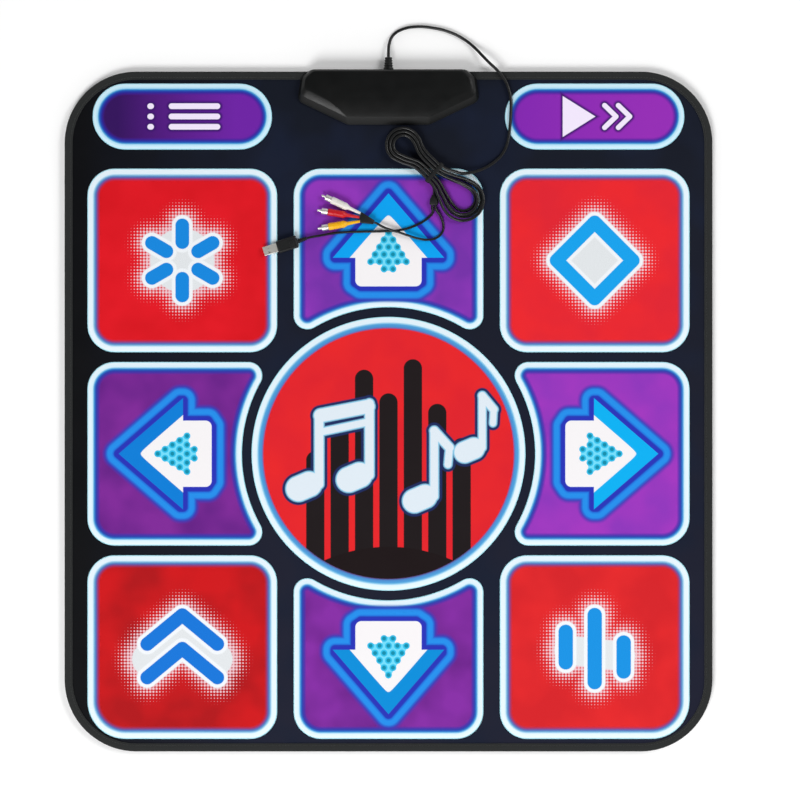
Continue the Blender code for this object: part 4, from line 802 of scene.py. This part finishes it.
def halftone(on_pad, gap):
    """Distance to the dots of a 4.2 mm screen, which merge beside the figure and end 28 mm away."""
    half = (2.1, 2.1, 1)
    cell = add("VectorMath WRAP", [on_pad, half, (-2.1, -2.1, -1)])
    from_middle = add("VectorMath LENGTH", [cell])
    radius = add("MapRange", {
        "Value": gap, "From Min": 3.0, "From Max": 34.0, "To Min": 2.1, "To Max": -0.8,
    })
    return add("Math SUBTRACT", [from_middle, radius])


def corner_pad(name, column, row, outer, motif, bright, dark, blue):
    """One red corner pad. The corner beside the mat's own round corner may be rounder."""
    middle = Vector((column * COLUMN, MIDDLE_Y + row * ROW))
    rectangle(name, PAD_WIDTH, PAD_DEPTH, (*middle, COVER))
    if outer:
        choose("VERT", lambda v: (v.co.x - middle.x) * column > 0 and (v.co.y - middle.y) * row > 0)
        bpy.ops.mesh.bevel(offset=PAD_OUTER_CORNER, segments=16, affect="VERTICES")
        choose("VERT", lambda v: abs(abs(v.co.x - middle.x) - PAD_WIDTH / 2) < 1e-5
               and abs(abs(v.co.y - middle.y) - PAD_DEPTH / 2) < 1e-5)
    bpy.ops.mesh.bevel(offset=PAD_CORNER, segments=14, affect="VERTICES")
    piece = shape_pad(name + "_vinyl")
    material, shader, place, on_pad = vinyl(f"Red printed PVC, {motif}", bright, middle)
    gap, patch = corner_figure(on_pad, motif)
    nearer = add("Math MINIMUM", [gap, patch])
    ink = ringed(mottled(place, bright, dark), RED_RING)
    ink = printed(ink, "#ecc8d0", halftone(on_pad, nearer), soft=0.45)
    ink = printed(ink, "#dfe3e6", patch, soft=0.8)
    ink = printed(ink, "#eef2f6", gap, 4.6, 0.8)
    wire(shader, {"Base Color": printed(ink, blue, gap)})
    return laid_sheet(piece, name, "red", material, "upper_circuit_film", name)


# The four pads take the same inks. Their reds and blues differ as painted light and shade: lightest on the
# rear-right pad, darkest on the front-left one.
pads = [
    corner_pad("pad_rear_left", -1, 1, False, "rays", "#e01522", "#d4101c", "#1286dc"),
    corner_pad("pad_rear_right", 1, 1, False, "diamond", "#e9252c", "#de2230", "#12a0ea"),
    corner_pad("pad_front_left", -1, -1, True, "chevrons", "#cc1318", "#ae0f15", "#1274d6"),
    corner_pad("pad_front_right", 1, -1, True, "bars", "#e12629", "#d22026", "#1490e0"),
]

# The four arrow pads, purple, hollowed towards the disc. Each has a common arrow pointing outwards:
# a white arrow in a blue one, with a dark and a light blue line round both, and a cluster of dots.
PURPLE_RING = PALE_EDGE + [
    (6.6, "#d6eef9", 1), (8.0, "#7cc2e6", 1), (9.4, "#2f7ccc", 1), (11.6, "#2440a8", 0.98),
    (14.2, "#3230a8", 0.75), (17.0, "#4a2fa8", 0.0),
]


def arrow_ink(on_pad, ink, blue):
    """The arrow, pointing to +Y, with y 0 on the pad's outer edge."""
    side = folded(on_pad, "x")
    x, y = add("SeparateXYZ", {"Vector": side}).outputs[:2]
    tip, wing, neck, heel, end = (0, -41), (70, -122), (43.4, -125.5), (43.4, -158), (36, -163)
    line = [tip, wing, (70, -125.5), neck, heel, end, (0, -163)]
    ink = banded(ink, figure(side, *[(a, b, 0) for a, b in zip(line, line[1:])]), 24, [
        (0.0, "#2b2db6", 1), (5.6, "#2336b4", 1), (7.2, "#1f74dc", 1), (9.5, "#238ee8", 1),
        (14.0, "#238ae6", 1), (16.4, "#2a5cc8", 1), (18.2, "#2f3bb2", 0.85), (22.5, "#4a2fae", 0.0),
    ])
    # The stem ends in 8 mm corners. Its head lies under the slanting line from tip to wing
    slope = math.atan2(wing[0], tip[1] - wing[1])
    normal = (math.cos(slope), math.sin(slope), 0)
    past = add("VectorMath MULTIPLY_ADD", [side, (1, -1, 0), (-35.4, -155.0, 0)])
    past = add("VectorMath MAXIMUM", [past, (0, 0, 0)])
    past = add("VectorMath LENGTH", [past])
    stem = add("Math SUBTRACT", [past, 8.0])
    head = add("Math SUBTRACT", [neck[1], y])
    shape = add("Math MINIMUM", [stem, head])
    # The white arrow inside the blue one has a tip that is a little round
    rounded = add("Math MULTIPLY_ADD", [x, x, 9.0])
    rounded = add("Math SQRT", [rounded])
    rounded = add("CombineXYZ", {0: rounded, 1: y})
    for colour, at, inset in ((blue, side, 0.0), ("#f3f0f2", rounded, 16.8)):
        slant = add("VectorMath DOT_PRODUCT", [at, normal])
        slant = add("Math SUBTRACT", [slant, normal[1] * tip[1] - inset])
        shape = add("Math MAXIMUM", [shape, slant])
        ink = printed(ink, colour, shape)
    # The dots stand on a hexagonal screen of 11.7 by 9.6 mm: a triangle of rows with two more at its foot
    rows = []
    for shift in ((0, 92.3, 0), (5.85, 101.9, 0)):
        moved = add("VectorMath ADD", [on_pad, shift])
        cell = add("VectorMath WRAP", [moved, (5.85, 9.6, 1), (-5.85, -9.6, -1)])
        rows.append(add("VectorMath LENGTH", [cell]))
    dot = add("Math MINIMUM", [rows[0], rows[1]])
    foot = add("Math SUBTRACT", [-145.1, y])
    narrow = add("Math SUBTRACT", [x, 11.0])
    foot = add("Math MAXIMUM", [foot, narrow])
    wide = add("Math SUBTRACT", [-135.5, y])
    area = add("Math MINIMUM", [wide, foot])
    slant = add("VectorMath DOT_PRODUCT", [side, (0.854, 0.520, 0)])
    slant = add("Math SUBTRACT", [slant, -43.0])
    area = add("Math MAXIMUM", [area, slant])
    ink = printed(ink, "#73daf6", area, -2.4, 0.3)
    for radius, colour in ((4.5, "#2cbbe6"), (2.6, "#128aa6")):
        disc = add("Math SUBTRACT", [dot, radius])
        disc = add("Math MAXIMUM", [area, disc])
        ink = printed(ink, colour, disc, soft=0.3)
    return ink


def arrow_outline(half, far):
    """Draws the rear pad's outline about the disc's middle, with its round tips and hollow side."""
    hollow = DISC_RADIUS + DISC_GAP
    tip_x = half - ARROW_TIP
    tip_y = math.sqrt((hollow + ARROW_TIP) ** 2 - tip_x**2)
    side = math.atan2(tip_y, tip_x)
    quarter, inner, shoulder = math.pi / 2, half - PAD_CORNER, far - PAD_CORNER
    draw([
        (half, tip_y), (half, shoulder), ((inner, shoulder), quarter), (-inner, far),
        ((-inner, shoulder), quarter), (-half, tip_y), ((-tip_x, tip_y), math.pi - side),
        ((0, 0), 2 * side - math.pi), ((tip_x, tip_y), math.pi - side),
    ], COVER)
    bpy.ops.mesh.edge_face_add()


# How much further out the arrows of the rear and the front pad are printed
ARROW_SHIFT = 0.0085


def arrow_pad(name, quarter, bright, dark, blue):
    """One arrow pad: quarter 0 is the rear one, and each further quarter is turned clockwise."""
    upright = quarter % 2 == 0
    half = (PAD_WIDTH if upright else PAD_DEPTH) / 2
    far = ROW + PAD_DEPTH / 2 if upright else COLUMN + PAD_WIDTH / 2
    arrow_outline(half, far)
    turn = -quarter * math.pi / 2
    piece = shape_pad(name + "_vinyl")
    piece.data.transform(Matrix.Translation((0, MIDDLE_Y, 0)) @ Matrix.Rotation(turn, 4, "Z"))
    edge = far + (ARROW_SHIFT if upright else 0.0)
    outer = Vector((0, MIDDLE_Y)) + Matrix.Rotation(turn, 2) @ Vector((0, edge))
    finish_name = f"Purple printed PVC, {name[4:]} arrow"
    material, shader, place, on_pad = vinyl(finish_name, bright, outer, turn)
    ink = ringed(mottled(place, bright, dark), PURPLE_RING)
    wire(shader, {"Base Color": arrow_ink(on_pad, ink, blue)})
    return laid_sheet(piece, name, "purple", material, "upper_circuit_film", name)


# The four pads take the same inks. Their purples and blues differ as painted light and shade: lightest on the
# right pad, darkest on the left one.
pads += [
    arrow_pad("pad_up", 0, "#9036b8", "#7430a6", "#04a2f0"),
    arrow_pad("pad_right", 1, "#a036bc", "#8c34b8", "#02aeef"),
    arrow_pad("pad_down", 2, "#842ca2", "#6a2088", "#008bd6"),
    arrow_pad("pad_left", 3, "#7e2896", "#641e84", "#047cd5"),
]

# The two capsule pads beside the box, purple, with plain white signs in place of words: a list with
# its marks on one, and a pointer with two chevrons on the other.
CAPSULE_INSET = 0.0068
CAPSULE_RING = [
    (0.0, "#7fcbe0", 1), (0.8, "#bfe8f6", 1), (3.0, "#d2eefa", 1), (6.2, "#b0e0f5", 1),
    (7.8, "#3f97d2", 1), (9.4, "#2350b4", 1), (12.0, "#26289c", 0.85), (15.8, "#4a1a9a", 0.0),
]


def capsule_pad(name, column, dark, bright):
    """One capsule pad, whose colour runs from dark on its left to bright on its right: painted shade, deepest
    towards the mat's left.
    """
    radius = CAPSULE_DEPTH / 2
    reach, middle = (PAD_WIDTH - 2 * CAPSULE_INSET) / 2 - radius, column * COLUMN
    draw([
        (middle + reach, CAPSULE_Y - radius), ((middle + reach, CAPSULE_Y), math.pi),
        (middle - reach, CAPSULE_Y + radius), ((middle - reach, CAPSULE_Y), math.pi),
        (middle + reach, CAPSULE_Y - radius),
    ], COVER)
    bpy.ops.mesh.edge_face_add()
    piece = shape_pad(name + "_vinyl")
    finish_name = f"Purple printed PVC, {name[4:]}"
    material, shader, _, on_pad = vinyl(finish_name, bright, (middle, CAPSULE_Y))
    x = add("SeparateXYZ", {"Vector": on_pad}).outputs[0]
    # Dark on the left and bright on the right: painted shade that deepens towards the mat's left.
    ink = ringed(faded(dark, bright, x, -85.0, 70.0), CAPSULE_RING)
    if column < 0:
        lines = [((-14, y), (46, y), 7.5) for y in (13.5, 0, -13.5)]
        marks = [((-42, y), (-41, y), 7.5) for y in (13.5, 0, -13.5)]
        gap = figure(on_pad, *lines, *marks)
    else:
        side = folded(on_pad, "y")
        chevrons = figure(side, *[((tip, 0), (tip - 15, 14.5), 6.5) for tip in (28, 46)])
        slope = add("VectorMath DOT_PRODUCT", [side, (0.53, 0.848, 0)])
        back = add("Math SUBTRACT", [-42.0, x])
        front = add("Math SUBTRACT", [slope, 0.5])
        pointer = add("Math MAXIMUM", [back, front])
        gap = add("Math MINIMUM", [pointer, chevrons])
    ink = printed(ink, "#3a1069", gap, 2.6, 1.6)
    wire(shader, {"Base Color": printed(ink, "#f1e6fb", gap)})
    return laid_sheet(piece, name, "purple", material, "upper_circuit_film", name)


# The two pads share one print. The select pad is painted much darker because it lies in the painted shade at
# the mat's left.
pads += [
    capsule_pad("pad_select", -1, "#34105c", "#6e22a4"),
    capsule_pad("pad_start", 1, "#8426b0", "#942cb4"),
]

# The home zone in the middle: a round red patch welded on the cover, no switch. Its print is a plain
# one: dark level bars on dark ground, and large white notes with a blue edge across them.
disc = started(
    bpy.ops.mesh.primitive_cylinder_add, "home_disc_vinyl", vertices=180, radius=DISC_RADIUS,
    depth=PAD_TOP - COVER_TOP - FIT_GAP, location=(0, MIDDLE_Y, (PAD_TOP + COVER_TOP + FIT_GAP) / 2),
)
rolled(disc, 0.0003, 3)
disc_print, shader, place, on_pad = vinyl("Red printed PVC, home zone", "#e3212b", (0, MIDDLE_Y))
x, y = add("SeparateXYZ", {"Vector": on_pad}).outputs[:2]
# Seven level bars, 24 mm wide and 32 mm apart, whose heights come from a stepped ramp across the disc
scaled = add("MapRange", {"Value": x, "From Min": -112.0, "From Max": 112.0})
levels = add("ValToRGB", {"Fac": scaled})
levels.color_ramp.interpolation = "CONSTANT"
heights = [0.30, 0.62, 0.92, 0.74, 1.0, 0.66, 0.40]
for i, height in enumerate(heights):
    element = levels.color_ramp.elements[0] if i == 0 else levels.color_ramp.elements.new(i / 7)
    element.color = (height, height, height, 1)
levels.color_ramp.elements.remove(levels.color_ramp.elements[-1])
top = add("MapRange", {"Value": levels.outputs[0], "To Min": -60.0, "To Max": 112.0})
across = add("Math WRAP", [x, 16.0, -16.0])
above = add("Math SUBTRACT", [y, top])
above = add("Math MAXIMUM", [above, 0.0])
bar = add("VectorMath LENGTH", [add("CombineXYZ", {0: across, 1: above})])
bar = add("Math SUBTRACT", [bar, 12.0])
span = add("Math SUBTRACT", [add("Math ABSOLUTE", [x]), 111.5])
bar = add("Math MAXIMUM", [bar, span])
ink = printed(mottled(place, "#e52428", "#dc202a"), "#1c1517", bar)
ink = printed(ink, "#1a1012", figure(on_pad, ((0, -330), (0.1, -330), 416)))
notes = [
    ((-118, -46), (-104, -40), 32), ((-52, -34), (-38, -28), 32), ((-91, -40), (-91, 52), 11),
    ((-25, -28), (-25, 66), 11), ((-89, 50), (-27, 62), 17), ((-91, 28), (-25, 42), 9),
    ((34, -62), (48, -56), 30), ((60, -56), (60, 30), 10), ((60, 30), (80, 8), 11), ((80, 8), (78, -14), 9),
    ((100, 2), (112, 7), 27), ((123, 8), (123, 76), 9), ((123, 76), (138, 58), 10), ((138, 58), (137, 40), 8),
]
gap = figure(on_pad, *notes)
for colour, edge, soft in (("#1b2a5c", 5.4, 0.7), ("#8ecbe8", 1.6, 0.8), ("#dde8f1", 0.0, 0.4)):
    ink = printed(ink, colour, gap, edge, soft)
wire(shader, {"Base Color": ringed(ink, PALE_EDGE + [
    (6.8, "#dcf0fa", 1), (8.4, "#8ccbea", 1), (10.0, "#4f9fd8", 1), (13.4, "#4a8acc", 1),
    (15.0, "#5a62a8", 0.8), (16.0, "#8a3c78", 0.0),
])})
laid_sheet(disc, "mat", "red", disc_print, "top_cover", "home_disc")

# The dark cover round the pads: one sheet of printed PVC, nearly black with a touch of blue, with an
# opening for each pad, 0.5 mm wider all round, and a notch for the box.
PAD_CLEARANCE = 0.0005
CUTTER_DROP, CUTTER_HEIGHT = 0.005, 0.009
cover = layer("cover_vinyl", COVER, COVER_TOP)
zones = []
for pad in pads:
    body = pad.name[:-len("_vinyl")]
    outline = copied(pad, "outline")
    choose("FACE", lambda face: face.normal.z > -0.9 or face.area < 0.002)
    bpy.ops.mesh.delete(type="FACE")
    bpy.ops.mesh.select_all(action="SELECT")
    bpy.ops.transform.translate(value=(0, 0, -CUTTER_DROP))
    extruded((0, 0, CUTTER_HEIGHT))
    faced_out()
    opening = copied(outline, "opening")
    bpy.ops.object.mode_set(mode="EDIT")
    bpy.ops.mesh.select_all(action="SELECT")
    bpy.ops.transform.shrink_fatten(value=PAD_CLEARANCE, use_even_offset=True)
    bpy.ops.object.mode_set(mode="OBJECT")
    for sheet in (foam_sheet, upper_film):
        zone = copied(sheet, f"{sheet.name}_{body}")
        zones.append((body, cut_out(zone, copied(outline, "zone_cutter"), "INTERSECT")))
        cut_out(sheet, copied(opening, "zone_cutter"))
    bpy.data.objects.remove(outline)
    cut_out(cover, opening)
smoothed(30)
cover_print, shader, place, _ = vinyl("Navy black printed PVC", "#15172a")
x, y = add("SeparateXYZ", {"Vector": place}).outputs[:2]
patches = add("TexNoise", {"Vector": place, "Scale": 11.0, "Detail": 2.0})
# Lighter towards the front is painted light from the front lamp. Darker towards the left edge is painted
# shade. The noise patches are the print's uneven tone.
ink = faded("#101521", "#1b1d2e", y, 0.42, -0.30)
ink = faded(ink, "#141b2e", patches, 0.42, 0.62)
wire(shader, {"Base Color": faded(ink, "#06070b", x, -0.18, -0.40)})
laid_sheet(cover, "mat", "cover", cover_print, "upper_circuit_film", "top_cover")

# The films and the foam again, now cut into their zones. A pad's full travel of 2 mm leaves a third
# of the foam's 3 mm.
laid_sheet(foam_sheet, "mat", "foam", foam_eva, "lower_circuit_film", "foam_spacer")
laid_sheet(upper_film, "mat", "film", film, "foam_spacer", "upper_circuit_film")
for body, zone in zones:
    if zone.name.startswith(upper_film.name):
        laid_sheet(zone, body, "film", film, f"{foam_sheet.name}_{body}")
    else:
        laid_sheet(zone, "mat", "foam", foam_eva, "lower_circuit_film")
        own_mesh(zone)

# The edge binding: a woven polyester tape folded over the rim and sewn through with two rows of
# lockstitch. It stops at the control box, whose shells clamp the mat there.
BINDING_WIDTH, BINDING_THICKNESS, BINDING_TOP = 0.0105, 0.0008, 0.0088
binding = rounded_slab("binding_tape", MAT_WIDTH, MAT_DEPTH, MAT_CORNER, 0.0, BINDING_TOP)
heights = [vertex.co.z for vertex in binding.data.vertices]
choose("EDGE", lambda edge: abs(heights[edge.vertices[0]] - heights[edge.vertices[1]]) < 1e-6)
bpy.ops.mesh.bevel(offset=0.0012, segments=4, affect="EDGES")
choose("FACE", lambda face: abs(face.normal.z) > 0.99 and face.area > 0.1)
bpy.ops.mesh.inset(thickness=BINDING_WIDTH - 0.0012)
bpy.ops.mesh.delete(type="FACE")
faced_out()
# The folded tape is open towards the mat, so its upper side decides which way its faces look
if sum(face.normal.z * face.area for face in binding.data.polygons if face.center.z > 0.008) < 0:
    binding.data.flip_normals()
changed(binding, "SOLIDIFY", thickness=BINDING_THICKNESS, offset=-1)
at_box = -NOTCH_CLEARANCE
cut_out(binding, box_cutter(-0.0026 - BINDING_WIDTH, at_box, at_box, at_box, at_box))
smoothed(35)
# The tape's ribs follow the rim, so each point gets its way round it in m: from the middle of the rear
# edge along the left, the front and the right
core_x, core_y = MAT_WIDTH / 2 - MAT_CORNER, MAT_DEPTH / 2 - MAT_CORNER
half_round = 2 * core_x + 2 * core_y + math.pi * MAT_CORNER
along_rim = []
for vertex in binding.data.vertices:
    x, y, _ = vertex.co
    near_x, near_y = min(abs(x), core_x), min(max(y, -core_y), core_y)
    way = near_x if y > 0 else 2 * core_x - near_x
    way += MAT_CORNER * math.atan2(abs(x) - near_x, y - near_y) + core_y - near_y
    along_rim.append(way if x < 0 else 2 * half_round - way)
binding.data.attributes.new("along_rim", "FLOAT", "POINT").data.foreach_set("value", along_rim)
# Woven polyester: dull grey-black, with a rib of 1.2 mm across it that is drawn coarser than its
# real 0.5 mm so that it shows
tape, shader, place = finish("Woven polyester tape", "#2c2f2e", 0.75, 0.22)
wire(shader, {"Sheen Weight": 0.15, "Sheen Roughness": 0.5})
way_round = add("Attribute", {}, tape.node_tree, attribute_name="along_rim").outputs["Fac"]
ribs = add("TexWave", {
    "Vector": add("CombineXYZ", {0: way_round}), "Scale": math.tau / 20 / 0.0012, "Distortion": 0.4,
}, bands_direction="X").outputs["Fac"]
fibre = add("TexNoise", {"Vector": place, "Scale": 1500.0, "Detail": 2.0})
weave = add("Math ADD", [ribs, fibre])
wire(shader, {
    "Normal": add("Bump", {"Height": weave, "Distance": 0.0002, "Strength": 0.5}),
    "Base Color": faded("#181a1a", "#262828", ribs, 0.0, 1.0),
})
give(binding, "mat", "binding", tape, "edge_binding")

# The lockstitch that holds the tape: black polyester thread, one stitch every 4 mm, 2.6 mm from the
# tape's inner edge on both faces, sunk into the tape
thread, shader, place = finish("Polyester thread", "#1b1d1c", 0.6, 0.3)
wire(shader, {"Sheen Weight": 0.2})
twist = add("TexWave", {"Vector": place, "Scale": 900.0, "Distortion": 0.3}, bands_direction="DIAGONAL")
twist = add("Bump", {"Height": twist.outputs["Fac"], "Distance": 0.0001, "Strength": 0.5})
wire(shader, {"Normal": twist})
SEAM_IN, STITCH = 0.0079, 0.004
seam_x, seam_y, quarter = MAT_WIDTH / 2 - SEAM_IN, MAT_DEPTH / 2 - SEAM_IN, math.pi / 2
round_x, round_y = seam_x - (MAT_CORNER - SEAM_IN), seam_y - (MAT_CORNER - SEAM_IN)
seam_end = BOX_HALF + 0.004
seam = draw([
    (-seam_end, seam_y), (-round_x, seam_y), ((-round_x, round_y), quarter), (-seam_x, -round_y),
    ((-round_x, -round_y), quarter), (round_x, -seam_y), ((round_x, -round_y), quarter),
    (seam_x, round_y), ((round_x, round_y), quarter), (seam_end, seam_y),
], BINDING_TOP)
bpy.ops.object.mode_set(mode="OBJECT")
bpy.ops.object.convert(target="CURVE")
stitches = started(
    bpy.ops.mesh.primitive_uv_sphere_add, "binding_stitches", segments=8, ring_count=6, radius=1
)
bpy.ops.transform.rotate(value=math.pi / 2, orient_axis="Y", center_override=(0, 0, 0))
bpy.ops.transform.resize(value=(0.00175, 0.00038, 0.00022))
bpy.ops.transform.translate(value=(STITCH / 2, 0, 0.00008))
bpy.ops.object.mode_set(mode="OBJECT")
bpy.ops.object.shade_smooth()
changed(stitches, "ARRAY", fit_type="FIT_CURVE", curve=seam, use_relative_offset=False,
        use_constant_offset=True, constant_offset_displace=(STITCH, 0, 0))
changed(stitches, "CURVE", object=seam, deform_axis="POS_X")
bpy.data.objects.remove(seam)
under = copied(stitches, "binding_stitches_under")
under.data.transform(Matrix.Diagonal((1, 1, -1, 1)))
under.data.transform(Matrix.Translation((0, 0, BINDING_TOP)))
under.data.flip_normals()
for piece in (stitches, under):
    give(piece, "mat", "binding", thread)

# The control box's lid: black ABS, moulded with a fine spark texture, drawn in towards its top, with
# a lip along its foot. Four screws from below hold it to the tray, which clamps the mat's layers.
# Spark-eroded ABS: black and half matt, finely pitted, with a little more gloss where hands rub it
abs_black, shader, place = finish("Black ABS, spark eroded", "#0b0c0c", 0.36, 0.28, wear=(60, 3, 0.29, 0.43))
spark = add("TexNoise", {"Vector": place, "Scale": 1300.0, "Detail": 3.0, "Roughness": 0.65})
wire(shader, {"Normal": add("Bump", {"Height": spark, "Distance": 0.0001, "Strength": 0.35})})
give(refined("box_upper_shell", 0.0008, "box_lid", 12), "mat", "box", abs_black, "box_upper_shell")
give(refined("box_lower_shell", 0.0), "mat", "box", abs_black, "box_lower_shell")

# Six small pan-head screws, zinc-plated steel: four hold the two shells from below, and two press
# the clamp bar on the board in the box. They keep their CAD form.
# Zinc plate: blue-white metal, dulled unevenly in the plating bath
zinc = finish("Zinc-plated steel", "#b9bcc0", 0.34, 0.5, wear=(900, 2, 0.26, 0.46), Metallic=1.0)[0]
for name in [f"box_screw_{i}" for i in (1, 2, 3, 4)] + ["clamp_screw_left", "clamp_screw_right"]:
    coat(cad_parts[name], zinc)

# The controller in the box: a green board, a chip under epoxy, a crystal can, a capacitor, the
# loom's header and the bar that presses the film tails on the board. They keep their CAD form.
# Solder mask: green and glossy, with paler copper showing through it in tracks
board, shader, place = finish("Solder-masked board", "#1c6a38", 0.4, 0.45)
copper = add("TexBrick", {"Vector": place, "Scale": 260.0, "Mortar Size": 0.12}, offset=0.5)
wire(shader, {"Base Color": faded("#17592f", "#2a8148", copper.outputs["Fac"], 0.0, 1.0)})
# Poured epoxy: a black drop, glossy and a little uneven
epoxy = finish("Black epoxy", "#0c0c0e", 0.2, 0.5, grain=(300, 2, 0.0002, 0.3))[0]
# Tinned steel: bright grey metal, softly brushed
tin = finish("Tinned can", "#c6c8ca", 0.28, 0.5, wear=(1200, 2, 0.2, 0.38), Metallic=1.0)[0]
# Shrunk PVC sleeve: dark blue and glossy, slightly wrinkled
sleeve = finish("Capacitor sleeve", "#1a2650", 0.35, 0.5, wear=(800, 2, 0.28, 0.42))[0]
for name, slot, material in (
    ("circuit_board", "board", board), ("controller_chip", "epoxy", epoxy), ("crystal_can", "tin", tin),
    ("capacitor", "sleeve", sleeve), ("loom_connector", "header", nylon), ("clamp_bar", "box", abs_black),
):
    coat(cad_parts[name], material)

# The gland: a ribbed rubber strain relief, held in the parting of the two shells by its neck and
# inner flange. The cord's core runs on from it to the header on the board.
GLAND_LENGTH, GLAND_ROOT, GLAND_TIP, BOX_WALL = 0.016, 0.0066, 0.0048, 0.002
inside = -BOX_WALL - 2 * FIT_GAP
profile = [(0, inside - 0.002), (0.0055, inside - 0.002), (0.0055, inside), (0.0040, inside)]
profile += [(0.0040, FIT_GAP), (GLAND_ROOT - 0.0003, FIT_GAP), (GLAND_ROOT, FIT_GAP + 0.0003)]
pitch = (GLAND_LENGTH - 0.0035) / 4
for i in range(4):
    start = 0.0025 + i * pitch
    radius = GLAND_ROOT + (GLAND_TIP - GLAND_ROOT) * start / GLAND_LENGTH
    for inwards, onwards in (
        (0.0, 0.0), (0.0002, 0.06), (0.0011, 0.25), (0.0011, 0.55), (0.0005, 0.74), (0.0003, 0.8),
    ):
        profile.append((radius - inwards, start + onwards * pitch))
profile += [(GLAND_TIP, GLAND_LENGTH - 0.0008), (GLAND_TIP - 0.0002, GLAND_LENGTH - 0.0002)]
profile += [(GLAND_TIP - 0.0006, GLAND_LENGTH), (0, GLAND_LENGTH)]
gland = turned("gland_ribbed", profile, (0, BOX_REAR, GLAND_HEIGHT), (0, 1, 0))
give(gland, "mat", "plug", moulded, "cable_gland")
give(refined("inner_loom", 0.0), "mat", "cord", cord_pvc, "inner_loom")

# A plain pale floor under soft studio light: a large lamp from the front left, a weaker one from the
# right, and a white surround that is dark overhead, where the camera hangs. To the eye, and in what
# mirrors it, the paper is a touch brighter than the lamps alone make it, so that it is white all over.
floor = started(bpy.ops.mesh.primitive_plane_add, "floor", size=30, location=(0, 0, -0.0002))
bpy.ops.object.mode_set(mode="OBJECT")
paper, shader, _ = finish("White studio paper", "#fbfbfb", 0.9, 0.1)
sight = add("LightPath", {}, paper.node_tree)
seen = sight.outputs["Is Camera Ray"]
for ray in ("Is Glossy Ray", "Is Transmission Ray"):
    seen = add("Math MAXIMUM", [seen, sight.outputs[ray]])
glow = add("Math MULTIPLY", [seen, 0.07])
wire(shader, {"Emission Color": (1, 1, 1, 1), "Emission Strength": glow})
floor.data.materials.append(paper)
for name, at, size, power in (
    ("lamp_front", (-1.6, -3.84, 4.32), 2.9, 241.0), ("lamp_side", (3.84, 1.44, 4.16), 2.6, 118.0)
):
    bpy.ops.object.light_add(type="AREA", location=at)
    lamp = bpy.context.object
    lamp.name = name
    lamp.data.shape, lamp.data.size, lamp.data.energy = "DISK", size, power
    lamp.rotation_euler = (Vector((0, 0, 0)) - Vector(at)).to_track_quat("-Z", "Y").to_euler()
world = bpy.context.scene.world or bpy.data.worlds.new("surround")
bpy.context.scene.world = world
world.use_nodes = True
world.node_tree.nodes.clear()
sight = add("TexCoord", {}, world.node_tree).outputs["Generated"]
up = add("SeparateXYZ", [sight]).outputs[2]
strength = add("MapRange", {
    "Value": up, "From Min": 0.3, "From Max": 0.75, "To Min": 1.0, "To Max": 0.08,
})
sky = add("Background", {"Color": (1, 1, 1, 1), "Strength": strength})
add("OutputWorld", {"Surface": sky})
bpy.context.scene.view_settings.view_transform = "Standard"
